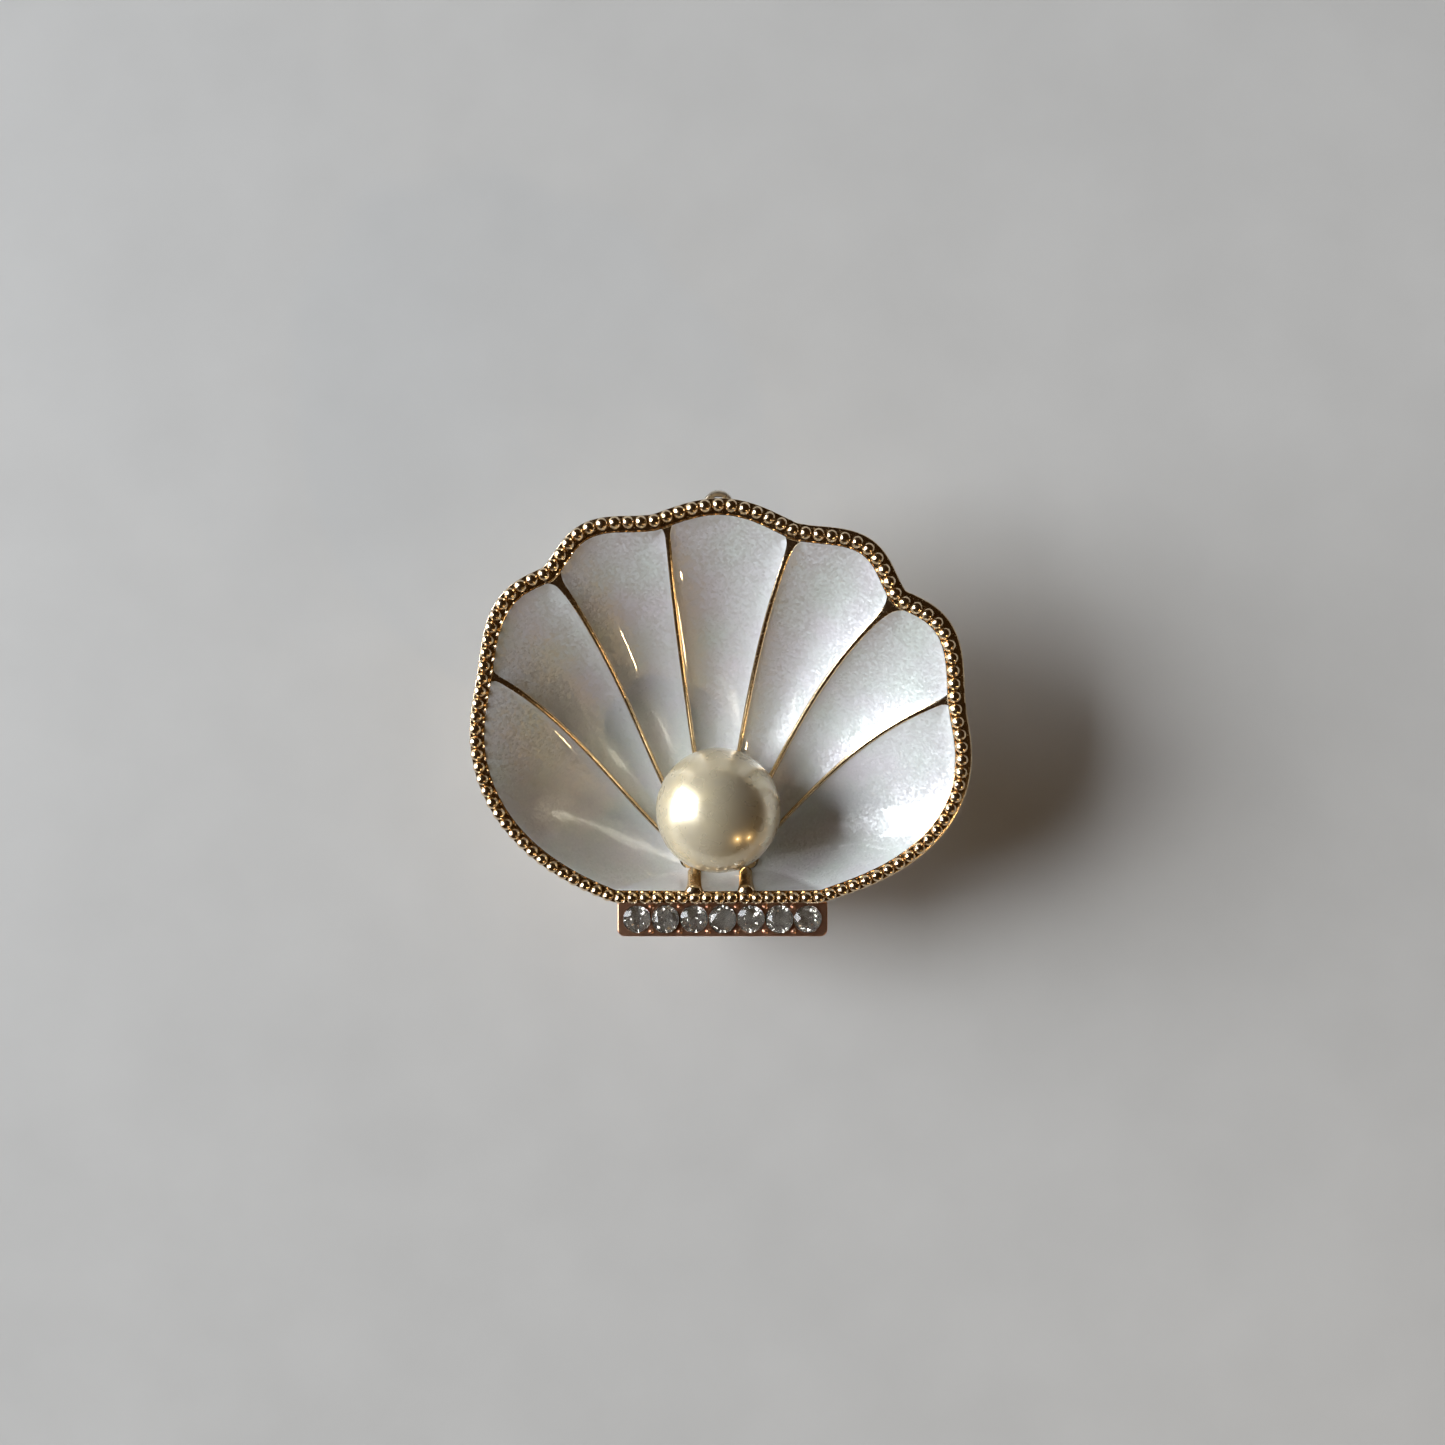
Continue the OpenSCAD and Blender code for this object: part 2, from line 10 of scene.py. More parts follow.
import bmesh
import bpy
import numpy as np
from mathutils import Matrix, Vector


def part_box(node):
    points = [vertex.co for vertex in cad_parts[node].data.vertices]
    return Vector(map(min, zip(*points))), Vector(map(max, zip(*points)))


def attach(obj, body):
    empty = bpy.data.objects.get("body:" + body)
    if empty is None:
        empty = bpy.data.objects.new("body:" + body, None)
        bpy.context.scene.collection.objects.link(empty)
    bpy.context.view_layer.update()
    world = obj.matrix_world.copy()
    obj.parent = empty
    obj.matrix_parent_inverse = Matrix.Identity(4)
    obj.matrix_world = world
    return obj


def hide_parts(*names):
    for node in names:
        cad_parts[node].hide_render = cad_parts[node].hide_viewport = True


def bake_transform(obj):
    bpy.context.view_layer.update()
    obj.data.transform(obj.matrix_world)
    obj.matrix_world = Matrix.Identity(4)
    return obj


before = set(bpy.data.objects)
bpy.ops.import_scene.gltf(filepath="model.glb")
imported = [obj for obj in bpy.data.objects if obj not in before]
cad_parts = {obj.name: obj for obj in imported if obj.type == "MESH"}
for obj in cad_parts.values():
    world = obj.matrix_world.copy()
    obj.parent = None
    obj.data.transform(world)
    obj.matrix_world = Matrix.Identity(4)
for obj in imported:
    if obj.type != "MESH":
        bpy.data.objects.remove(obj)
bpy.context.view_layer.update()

bl_info = {
    "name": "Enamelled shell hair clip",
    "version": (1, 0, 0),
    "blender": (4, 5, 0),
    "location": "3D View > Sidebar > Hair Clip",
    "description": "Builds the visible surfaces and finishes of a shell hair clip round its frame",
    "category": "Object",
}

MM = 0.001
SHELL_BODY, LOWER_BODY = "shell_and_upper_jaw", "lower_jaw"


# ---- Small tools ----------------------------------------------------------------------------


def linear(hex_colour):
    """The linear colour of an sRGB hex value."""
    c = np.array([int(hex_colour[i : i + 2], 16) for i in (1, 3, 5)]) / 255
    return tuple(np.where(c <= 0.04045, c / 12.92, ((c + 0.055) / 1.055) ** 2.4).tolist())


def lerp(a, b, t):
    return a + (b - a) * t


def smooth(t):
    """0 up to 0, 1 from 1, and 3t² - 2t³ between them."""
    t = np.clip(t, 0, 1)
    return t * t * (3 - 2 * t)


def unit(v):
    return v / np.linalg.norm(v, axis=-1, keepdims=True)


def tilted(points, degrees, origin=(0, 0, 0)):
    """Points turned about an axis along X and then moved to origin."""
    c, s = cosine(degrees), sine(degrees)
    x, y, z = np.moveaxis(points, -1, 0)
    return np.stack([x, y * c - z * s, y * s + z * c], -1) + origin


def sine(degrees):
    return math.sin(math.radians(degrees))


def cosine(degrees):
    return math.cos(math.radians(degrees))


def tangent(degrees):
    return math.tan(math.radians(degrees))


def circle(n):
    """Angles of n equal steps round a circle."""
    return np.linspace(0, 2 * np.pi, n, endpoint=False)


def lathe(r, z, turn):
    """Rings about the Z axis, a column of radii r at a column of heights z."""
    return np.stack(np.broadcast_arrays(r * np.cos(turn), r * np.sin(turn), z + 0 * turn), -1)


def raised(p, z):
    """Points p of a plane at height z."""
    return np.concatenate([p, (z + 0 * p[..., 0])[..., None]], -1)


def box_mm(node):
    """Lowest corner, highest corner and sides of a CAD node."""
    low, high = (np.array(corner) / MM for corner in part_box(node))
    return low, high, high - low


# ---- Driving sizes, from the frame where it has them ----------------------------------------

RIM_TILT = 13.0
RIM_Z = 17.4
DISH_DEPTH = 7.65
ENAMEL_T = 0.5
WALL = 1.1
FLUTE = 0.45

STONES = [f"rhinestone_{i}" for i in range(1, 8)]
LOBES = [f"enamel_lobe_{i}" for i in range(1, 8)]


# ---- Add-on settings ------------------------------------------------------------------------


def size_setting(name, description, metres):
    return bpy.props.FloatProperty(name=name, description=description, default=metres,
                                   unit="LENGTH")


def colour_setting(name, description, hex_colour):
    return bpy.props.FloatVectorProperty(name=name, description=description, subtype="COLOR",
                                         default=linear(hex_colour))


class ClipSizes(bpy.types.PropertyGroup):
    """Sizes of the trim, which may change without moving any CAD part."""

    rib_width: size_setting("Rib width", "Width of a rib between two lobes", 0.0005)
    rib_height: size_setting("Rib height", "Height of a rib above the enamel", 0.00024)
    enamel_climb: size_setting("Enamel climb", "How far the enamel climbs the metal round it", 0.00034)
    bead_diameter: size_setting("Bead diameter", "Diameter of a rim bead", 0.00118)
    bead_pitch: size_setting("Bead pitch", "Distance between two rim beads", 0.00119)


class ClipColours(bpy.types.PropertyGroup):
    """Colours of the finishes."""

    gold: colour_setting("Gold", "Champagne gold plating of the shell", "#F4DAB4")
    red_gold: colour_setting("Red gold", "Reddish gold plating of the stone bar", "#E9B392")
    enamel: colour_setting("Enamel", "Pearlescent enamel where it looks lavender", "#E3DFE4")
    enamel_tint: colour_setting("Enamel tint", "Pearlescent enamel where it looks greenish", "#DDE4DF")
    pearl: colour_setting("Pearl", "Cream coat of the pearl", "#E9DAB4")
    steel: colour_setting("Clip steel", "Plated sheet steel of the clip", "#C9BDA8")


def sizes():
    return bpy.context.scene.hair_clip_sizes


def colours():
    return bpy.context.scene.hair_clip_colours


# ---- Mesh tools -----------------------------------------------------------------------------


def skin(rings, ends="fan"):
    """A closed surface over rings of points, an array of rings by points by 3. Each ring is closed.
    The two end rings are closed by a fan about their middle, or by a ladder that joins point j of a
    ring of 2n to point 2n - 1 - j, or the last ring is joined to the first. Faces point outwards."""
    rows, cols = rings.shape[:2]
    points = rings.reshape(-1, 3)
    i = np.arange(rows if ends == "join" else rows - 1)[:, None]
    j = np.arange(cols)[None, :]
    below, right = (i + 1) % rows, (j + 1) % cols
    quads = np.stack(
        [i * cols + j, i * cols + right, below * cols + right, below * cols + j], -1)
    faces = [quads.reshape(-1, 4)]
    last = (rows - 1) * cols
    if ends == "fan":
        points = np.concatenate([points, rings[:1].mean(1), rings[-1:].mean(1)])
        j, right = j[0], right[0]
        faces.append(np.stack([right, j, np.full(cols, rows * cols)], -1))
        faces.append(np.stack([last + j, last + right, np.full(cols, rows * cols + 1)], -1))
    if ends == "ladder":
        j = np.arange(cols // 2 - 1)
        rung = np.stack([j, cols - 1 - j, cols - 2 - j, j + 1], -1)
        faces += [rung, last + rung[:, ::-1]]
    return outward(points, faces)


def outward(points, faces):
    """The same faces, turned over if the volume that they close comes out negative."""
    volume = 0
    for group in faces:
        a, b, c = (points[group[:, k]] for k in (0, 1, 2))
        volume += np.einsum("ij,ij->", a, np.cross(b, c))
        if group.shape[1] == 4:
            volume += np.einsum("ij,ij->", a, np.cross(c, points[group[:, 3]]))
    return points, faces if volume > 0 else [group[:, ::-1] for group in faces]


def make_piece(name, parts, materials, body, stands_for=(), crease=35.0):
    """One object from closed parts, each (points in mm, groups of faces, material number). Edges
    sharper than crease degrees stay sharp, and the rest is shaded smooth."""
    points, faces, numbers, start = [], [], [], 0
    for part_points, groups, number in parts:
        points.append(part_points)
        for group in groups:
            faces += (group + start).tolist()
            numbers.append(np.full(len(group), number))
        start += len(part_points)
    mesh = bpy.data.meshes.new(name)
    mesh.from_pydata(np.concatenate(points) * MM, [], faces)
    mesh.polygons.foreach_set("material_index", np.concatenate(numbers))
    for material in materials:
        mesh.materials.append(material)
    mesh.shade_smooth()
    mesh.set_sharp_from_angle(angle=math.radians(crease))
    mesh.validate()
    piece = bpy.data.objects.new(name, mesh)
    bpy.context.scene.collection.objects.link(piece)
    if stands_for:
        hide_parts(*stands_for)
    if body:
        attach(piece, body)
    return piece


# ---- Outline and heights of the shell -------------------------------------------------------

CORNER_DIR = 150
EDGE_DIR = np.array([-CORNER_DIR, -81, -48.5, -17.5, 21.5, 55, 87, CORNER_DIR])
EDGE_R = np.array([20.1, 22.9, 21.4, 19.8, 19.5, 21.1, 23.3, 20.1])
CROWN_H = np.array([1.5, 1.25, 1.2, 0.65, 1.4, 1.5, 2.3])
CROWN_LEAN = np.array([0.75, 0.75, 1.15, 1, 1.15, 0.75, 0.75])
CROWN_POWER = 1.6
FOOT_Y = EDGE_R[0] * cosine(CORNER_DIR)
RIM_W, RIM_W_CROWN, RIM_W_RIGHT = 1.2, 0.35, 0.3
BEAD_IN, BEAD_IN_RIGHT = 0.58, 0.5
WIDEST_DIR = 80
BOWL_Y, BOWL_X_R, BOWL_CROWN_R, BOWL_FOOT_R = -8.4, 24, 29, 9.5
BOWL_SHARE = 0.9
FLUTE_GAIN = 1.6


def outline(a):
    """Point of the shell's edge in direction a. Between two notches the radius is the straight blend
    of theirs plus a rounded crown, a power of a sine, that leans away from the middle lobe. Below
    the two corners the edge is one straight line."""
    a = (np.asarray(a, float) + 180) % 360 - 180
    k = np.clip(np.searchsorted(EDGE_DIR, a, side="right") - 1, 0, 6)
    t = np.clip((a - EDGE_DIR[k]) / (EDGE_DIR[k + 1] - EDGE_DIR[k]), 0, 1)
    u = np.where(k < 3, 1 - (1 - t) ** CROWN_LEAN[k], t ** CROWN_LEAN[k])
    crown = CROWN_H[k] * np.sin(np.pi * np.clip(u, 0, 1)).clip(0) ** CROWN_POWER
    turn = np.radians(a)
    foot = np.minimum(np.cos(turn), -0.5)
    r = np.where(abs(a) >= CORNER_DIR, FOOT_Y / foot, lerp(EDGE_R[k], EDGE_R[k + 1], t) + crown)
    return r[..., None] * np.stack([np.sin(turn), np.cos(turn)], -1)


def rim_tangent(a):
    return unit(outline(np.asarray(a) + 1) - outline(np.asarray(a) - 1))


def inset(a, d):
    """Point d inside the edge in direction a, square to the edge."""
    t = rim_tangent(a)
    return outline(a) + np.asarray(d)[..., None] * np.stack([t[..., 1], -t[..., 0]], -1)


def right_side(a):
    """1 on the right of the shell, a little above its middle, fading to 0 a quarter turn away."""
    return np.cos(np.radians(np.asarray(a) - WIDEST_DIR)).clip(0) ** 2


def rim_w(a):
    """Width of the flat rim: widest on the right, then at the crown, and narrowest at the bar."""
    half_turn = np.radians((np.asarray(a, float) + 180) % 360 - 180) / 2
    return RIM_W + RIM_W_CROWN * np.cos(half_turn) + RIM_W_RIGHT * right_side(a)


def bead_in(a):
    return BEAD_IN + BEAD_IN_RIGHT * right_side(a)


def rim_plane(y):
    return RIM_Z + tangent(RIM_TILT) * y


def dish_z(p, v):
    """Height of the dish: a paraboloid about the pearl, steeper towards the bar, that fades into
    the rim plane with the cube of v, the way from the hinge ridge to the rim."""
    x, y = p[..., 0] / BOWL_X_R, p[..., 1] - BOWL_Y
    bowl = 1 - BOWL_SHARE * (x**2 + (y / np.where(y > 0, BOWL_CROWN_R, BOWL_FOOT_R)) ** 2)
    return rim_plane(p[..., 1]) - DISH_DEPTH * bowl * (1 - v**3)


def flute_z(s, v):
    """Hollow along the middle of a lobe: a half sine across it, fading out at both its ends."""
    return -FLUTE * np.sin(np.pi * s) * FLUTE_GAIN * v * (1 - v**3)


# ---- Ribs and lobes seen from above ---------------------------------------------------------

RIDGE_Y, RIDGE_R = -14.0, 0.35
RIDGE_X = (-2.4, 2.7)
RIB_DIR = np.array([171.2 - 360, -172.3, -78.4, -47.9, -15, 21.8, 54.8, 84.3, 171.2])
RIB_FOOT_X = np.array([2.7, -2.4, -2.4, -1.6, -0.8, -0.2, 0.7, 2.7, 2.7])
RIB_BOW = np.array([0, 0, 0.4, 0.3, -0.3, -0.5, -1.1, -1.3, 0])
RIB_SWAY = np.array([0, 0, 5.8, 4.2, -0.3, -3, -4.4, -3.7, 0])
SHORT_RIBS = (0, 1, 8)
SHORT_RIB_WIDER = 2.6
WEB_W, WEB_L = 0.2, 0.8
FOOT_WIDTH, WIDENS = 0.5, 2.5
FOOT_BESIDE, PARTS = 0.4, 3
LEAST_SKEW = 0.6
END_POWER = 36
# Share of each lobe, from the ridge, where the metal hub under the pearl is bare of enamel.
BARE_TO = (0.14, 0.05, 0.16, 0.23, 0.23, 0.23, 0.16, 0.05)


def rib_place(k):
    """Foot, line to the rim and length of rib k's middle."""
    foot = np.array([RIB_FOOT_X[k], RIDGE_Y + (-RIDGE_R if k in SHORT_RIBS else RIDGE_R)])
    line = inset(RIB_DIR[k], rim_w(RIB_DIR[k])) - foot
    return foot, line, np.linalg.norm(line)


def half_width(k, v):
    """Half the width of rib k, with a triangular web where it runs into the rim."""
    w = sizes().rib_width / MM * (SHORT_RIB_WIDER if k in SHORT_RIBS else 1)
    left = (1 - v) * rib_place(k)[2] / WEB_L
    return w / 2 * np.minimum(1, FOOT_WIDTH + WIDENS * v) + WEB_W * (1 - left).clip(0) ** 2


def rib_dir(k, q, beside=0.0):
    """Direction in which the line q half-widths from rib k's middle, and beside further, ends."""
    foot, line, _ = rib_place(k)
    way = q * half_width(k, 1.0) + np.sign(q) * beside
    return RIB_DIR[k] + np.degrees(way / np.linalg.norm(foot + line))


def rib_point(k, q, v, beside=0.0):
    """Point at fraction v along rib k, q half-widths from its middle and beside further. The middle
    bows to one side as a parabola plus a cubic that sways both ways. At v = 1 the point lies on the
    inner edge of the rim, to which a high power of v turns the last stretch."""
    foot, line, length = rib_place(k)
    along, across = line / length, rim_tangent(RIB_DIR[k])
    skew = max(LEAST_SKEW, abs(along[0] * across[1] - along[1] * across[0]))

    def raw(v):
        way = q * half_width(k, v) + np.sign(q) * beside * np.minimum(1, FOOT_BESIDE + PARTS * v)
        bow = (4 * RIB_BOW[k] + RIB_SWAY[k] * (2 * v - 1)) * v * (1 - v)
        middle = foot + line * v[..., None] + bow[..., None] * [along[1], -along[0]]
        return middle + (way / skew)[..., None] * across

    a = rib_dir(k, q, beside)
    v = np.asarray(v, float)
    end = inset(a, rim_w(a)) - raw(np.ones_like(v))
    return raw(v) + (v**END_POWER)[..., None] * end


def ridge_point(k, s):
    """Point of the slot-shaped hinge ridge under the pearl, from which lobe k starts."""
    s = np.asarray(s, float)
    if k in (1, 7):
        side = -1 if k == 1 else 1
        turn = np.pi * s
        return np.stack([RIDGE_X[k == 7] + side * RIDGE_R * np.sin(turn),
                         RIDGE_Y + side * RIDGE_R * np.cos(turn)], -1)
    return lerp(rib_place(k)[0], rib_place(k + 1)[0], s[..., None])


def lobe_point(k, s, v, beside=0.0):
    """Point of lobe k at fraction s across it and v along it. The lobe's four edges, two rib sides,
    the ridge and the rim, are blended as a Coons patch. Lobe 0 is the neck."""
    s, v = np.broadcast_arrays(np.asarray(s, float), np.asarray(v, float))
    one = np.ones_like(v)
    left, right = rib_point(k, 1.0, v, beside), rib_point(k + 1, -1.0, v, beside)
    left_end, right_end = rib_point(k, 1.0, one, beside), rib_point(k + 1, -1.0, one, beside)
    a = lerp(rib_dir(k, 1.0, beside), rib_dir(k + 1, -1.0, beside), s)
    across = s[..., None]
    start = ridge_point(k, s) - lerp(ridge_point(k, 0.0), ridge_point(k, 1.0), across)
    end = inset(a, rim_w(a)) - lerp(left_end, right_end, across)
    return lerp(left, right, across) + v[..., None] * end + (1 - v)[..., None] * start


# ---- Shell casting --------------------------------------------------------------------------

RIB_ACROSS = np.array([-1, -1, -0.92, -0.75, -0.45, 0, 0.45, 0.75, 0.92, 1, 1])
LOBE_COLUMNS = [6, 44, 24, 24, 26, 24, 24, 44]
BED_HALF = 0.5
LIP_H = 0.09
EDGE_H, EDGE_ROLL = 1.2, 0.45
UNDER_IN, UNDER_DROP = 0.3, 0.06
BUTTON_TOP = 0.18
BOSS_R, BOSS_SQUASH, BOSS_SIDES, BOSS_BANDS = 0.74, 0.6, 32, 10
BOSS_RISE, BOSS_IN, BOSS_SINK = 0.1, 0.1, 0.02
SHORT_RIB_TALLER = 2.2
ARCH_DROP, ARCH_POWER, ARCH_END = 0.8, 2.6, 12
CASTING_V = np.concatenate([[0, 0.03, 0.05, 0.12, 0.14, 0.16, 0.21, 0.23],
                            np.linspace(0.27, 0.94, 26), [0.955, 0.97, 0.98, 0.99, 1]])
HIDDEN_BACK = slice(1, 5)
LIP = [(0, 0), (0.05, 0.6), (0.1, 1), (0.15, 0.6), (0.2, 0)]
LIP_W, BED_REACH = 0.22, 0.42
BAND_RISE, BAND_FALL, BAND_SLOPE = 0.02, 0.1, 0.5
BAND_TURNS, ROLL_TURNS = (0, 20, 40, 60, 75), (5, 25, 45, 65, 82)


def casting_columns():
    """Columns of the casting in order round the shell: (kind, number, place across)."""
    columns = []
    for k in range(8):
        columns += [("rib", k, j) for j in range(len(RIB_ACROSS))]
        columns += [("lobe", k, s) for s in np.linspace(0, 1, LOBE_COLUMNS[k])]
    return columns


def casting_rings():
    """Rings of the casting from the ridge over the dish to the rim, across it, and back to the
    ridge on the underside. A rib's top is a flattened arch, and the floor of a lobe lies one enamel
    thickness below the dish. The rim has a rounded lip inside the beads and a domed band outside."""
    v = CASTING_V
    rib_height = sizes().rib_height / MM
    arch = rib_height * (1 - ARCH_DROP * abs(RIB_ACROSS) ** ARCH_POWER)
    tops, backs, ways = [], [], []
    for kind, k, place in casting_columns():
        if kind == "rib":
            q = RIB_ACROSS[place]
            p = rib_point(k, q, v)
            deep = place in (0, len(RIB_ACROSS) - 1) and v >= BARE_TO[k]
            tall = SHORT_RIB_TALLER if k in SHORT_RIBS else 1
            top = np.where(deep, -ENAMEL_T, arch[place] * tall * (1 - v**ARCH_END))
            hollow = 0
            ways.append(rib_dir(k, q))
        else:
            p = lobe_point(k, place, v)
            hollow = flute_z(place, v)
            top = np.where(v < BARE_TO[k], rib_height, hollow - ENAMEL_T)
            ways.append(lerp(rib_dir(k, 1.0), rib_dir(k + 1, -1.0), place))
        z = dish_z(p, v)
        tops.append(raised(p, z + top))
        backs.append(raised(p, z + hollow - ENAMEL_T - WALL))
    back = np.delete(np.stack(backs, 1)[::-1], HIDDEN_BACK, 0)
    return np.concatenate([np.stack(tops, 1), rim_rings(np.array(ways)), back])


def rim_rings(a):
    """Rings across the rim in directions a, each (distance inside the edge, height over the rim
    plane): the lip, the bed of the beads, the band that domes down outside them, and the edge, a
    quarter of an ellipse that rolls under."""
    w, bed = rim_w(a), bead_in(a)
    band = (bed - BED_HALF).clip(0)
    fall = BAND_FALL + BAND_SLOPE * band
    inner, outer = np.minimum(bed + BED_REACH, w - LIP_W), bed - BED_REACH
    profile = [(w - d, h * LIP_H) for d, h in LIP]
    profile += [(inner, 0), ((inner + outer) / 2, 0), (outer, 0)]
    profile += [(band * (1 - sine(t)), fall * (cosine(t) - 1) + BAND_RISE) for t in BAND_TURNS]
    profile += [(EDGE_ROLL * (1 - cosine(t)) + 0 * w, BAND_RISE - fall - (EDGE_H - fall) * sine(t))
                for t in ROLL_TURNS]
    profile += [(EDGE_ROLL + UNDER_IN + 0 * w, -EDGE_H - UNDER_DROP)]
    rings = [inset(a, d) for d, _ in profile]
    return np.stack([raised(p, rim_plane(p[:, 1]) + rise) for p, (_, rise) in zip(rings, profile)])


def button(r, rise, squash, sides, bands):
    """The part of a ball above the plane z = 0, with its middle at height rise, squashed in z."""
    down = np.linspace(BUTTON_TOP, math.acos(-rise / r), bands)[:, None]
    return skin(lathe(r * np.sin(down), (r * np.cos(down) + rise) * squash, circle(sides)[None, :]))


def bosses():
    """A low dome where each short rib meets the beads."""
    points, faces = button(BOSS_R, BOSS_RISE, BOSS_SQUASH, BOSS_SIDES, BOSS_BANDS)
    found = []
    for k in SHORT_RIBS[1:]:
        x, y = inset(RIB_DIR[k], rim_w(RIB_DIR[k]) - BOSS_IN)
        found.append((tilted(points, RIM_TILT, (x, y, rim_plane(y) - BOSS_SINK)), faces, 0))
    return found


class HAIRCLIP_OT_shell(bpy.types.Operator):
    """Build the cast shell with its ribs, rim and back"""

    bl_idname = "hairclip.shell"
    bl_label = "Shell Casting"

    def execute(self, context):
        make_piece("shell_gilt_casting", [(*skin(casting_rings()), 0), *bosses()],
                   [finish(gilt_casting)], SHELL_BODY, ["shell_casting"], crease=50)
        return {"FINISHED"}


# ---- Rim beads ------------------------------------------------------------------------------

BEAD_RISE = 0.2
BEAD_SIDES, BEAD_BANDS = 16, 6
BEAD_SEED = 7
BEAD_VARIES = (0.98, 1.02)
LINE_STEPS = 2881


class HAIRCLIP_OT_beads(bpy.types.Operator):
    """Build the row of beads on the rim"""

    bl_idname = "hairclip.beads"
    bl_label = "Rim Beads"

    def execute(self, context):
        """Every bead is the part of a ball above the rim plane, and the beads stand at equal steps
        of length along a line inside the edge. A cast bead differs a little from its neighbours."""
        a = np.linspace(0, 360, LINE_STEPS)
        line = inset(a, bead_in(a))
        length = np.concatenate([[0], np.cumsum(np.linalg.norm(np.diff(line, axis=0), axis=1))])
        count = int(length[-1] / (sizes().bead_pitch / MM))
        at = np.interp(np.arange(count) * length[-1] / count, length, a)
        middle = inset(at, bead_in(at))
        r = sizes().bead_diameter / MM / 2
        points, faces = button(r, BEAD_RISE, 1.0, BEAD_SIDES, BEAD_BANDS)
        points = tilted(points, RIM_TILT)
        varied = np.random.default_rng(BEAD_SEED).uniform(*BEAD_VARIES, (count, 1, 1))
        seats = raised(middle, rim_plane(middle[:, 1]))[:, None]
        everywhere = (points[None] * varied + seats).reshape(-1, 3)
        starts = (np.arange(count) * len(points))[:, None, None]
        groups = [(group[None] + starts).reshape(-1, group.shape[1]) for group in faces]
        make_piece("rim_beads", [(everywhere, groups, 0)], [finish(gilt_beads)],
                   SHELL_BODY, ["bead_border"], crease=60)
        return {"FINISHED"}


# ---- Enamel ---------------------------------------------------------------------------------

CLIMB_WIDTH = 0.75
ENAMEL_EDGE = 0.05
TUCK = 0.02
LOBE_GRID, NECK_GRID = (56, 72), (16, 24)
PAST_RIM = 1.003


def enamel_rings(k):
    """Rings along lobe k, each over the top of the fill and back under it. The top follows the
    fluted dish and, as wet enamel does, climbs the metal round it with the exponential of minus the
    distance over CLIMB_WIDTH."""
    n, m = LOBE_GRID if k else NECK_GRID
    s = 0.5 - 0.5 * np.cos(np.pi * np.linspace(0, 1, n))
    v = lerp(BARE_TO[k], PAST_RIM, np.sin(np.pi / 2 * np.linspace(0, 1, m)))
    s, v = np.meshgrid(s, v)
    p = lobe_point(k, s, v, -TUCK)
    width = np.linalg.norm(p[:, -1] - p[:, 0], axis=1)[:, None]
    near = np.minimum(np.minimum(s, 1 - s) * width, (1 - v).clip(0) * rib_place(k)[2])
    level = dish_z(p, np.minimum(v, 1)) + flute_z(s, np.minimum(v, 1))
    sunk = sizes().enamel_climb / MM * (1 - np.exp(-near / CLIMB_WIDTH))
    over, under = raised(p, level + ENAMEL_EDGE - sunk), raised(p, level - ENAMEL_T + TUCK)
    return np.concatenate([over, under[:, ::-1]], 1)


class HAIRCLIP_OT_enamel(bpy.types.Operator):
    """Build the seven enamel lobes and the neck"""

    bl_idname = "hairclip.enamel"
    bl_label = "Enamel"

    def execute(self, context):
        for k, node in enumerate(["enamel_neck", *LOBES]):
            make_piece(node.replace("enamel", "pearly_enamel"),
                       [(*skin(enamel_rings(k), "ladder"), 0)], [finish(pearly_enamel)],
                       SHELL_BODY, [node], crease=60)
        return {"FINISHED"}


# ---- Pearl ----------------------------------------------------------------------------------

HOLE_R, HOLE_DEPTH, HOLE_LIP = 0.42, 3.3, 0.1
PEARL_BANDS, PEARL_SIDES, PEARL_TOP = 90, 128, 0.02
SWELL, DIP = 0.012, 0.01


class HAIRCLIP_OT_pearl(bpy.types.Operator):
    """Build the half-drilled pearl"""

    bl_idname = "hairclip.pearl"
    bl_label = "Pearl"

    def execute(self, context):
        """A ball turned about its drill hole. Its radius swells and dips by a few hundredths of a
        millimetre with two slow waves, and the hole is a narrow cup in its foot."""
        low, high, sides = box_mm("pearl")
        full = sides[0] / 2
        down = np.linspace(PEARL_TOP, np.pi - math.asin(HOLE_R / full), PEARL_BANDS)[:, None]
        turn = circle(PEARL_SIDES)[None, :]
        wave = SWELL * np.sin(3 * turn + 2 * down) * np.sin(down) + DIP * np.sin(2 * turn - 5 * down)
        r = full + wave * np.sin(down)
        hole = np.array([[HOLE_LIP], [HOLE_DEPTH]]) - full
        rings = np.concatenate([lathe(r * np.sin(down), r * np.cos(down), turn),
                                lathe(HOLE_R, hole, turn)])
        make_piece("cream_pearl", [(*skin(tilted(rings, RIM_TILT, (low + high) / 2)), 0)],
                   [finish(pearl_coat)], SHELL_BODY, ["pearl"], crease=60)
        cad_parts["pearl_peg"].data.materials.clear()
        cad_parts["pearl_peg"].data.materials.append(finish(gilt_casting))
        return {"FINISHED"}


# ---- Stone bar ------------------------------------------------------------------------------

BAR_EDGE = 0.16
BAR_CORNER = 0.7
BAR_STEPS, BAR_TOP_STEPS, BAR_TURNS = 300, 54, 5
SEAT_WALL, SEAT_CONE, SEAT_LEDGE = 0.25, 1.25, 0.02
GRAIN_R, GRAIN_H, GRAIN_Y = 0.24, 0.22, 1.18


def stone_places():
    """Middle of each stone in X and Y."""
    boxes = [box_mm(node) for node in STONES]
    return np.array([(low + high)[:2] / 2 for low, high, _ in boxes])


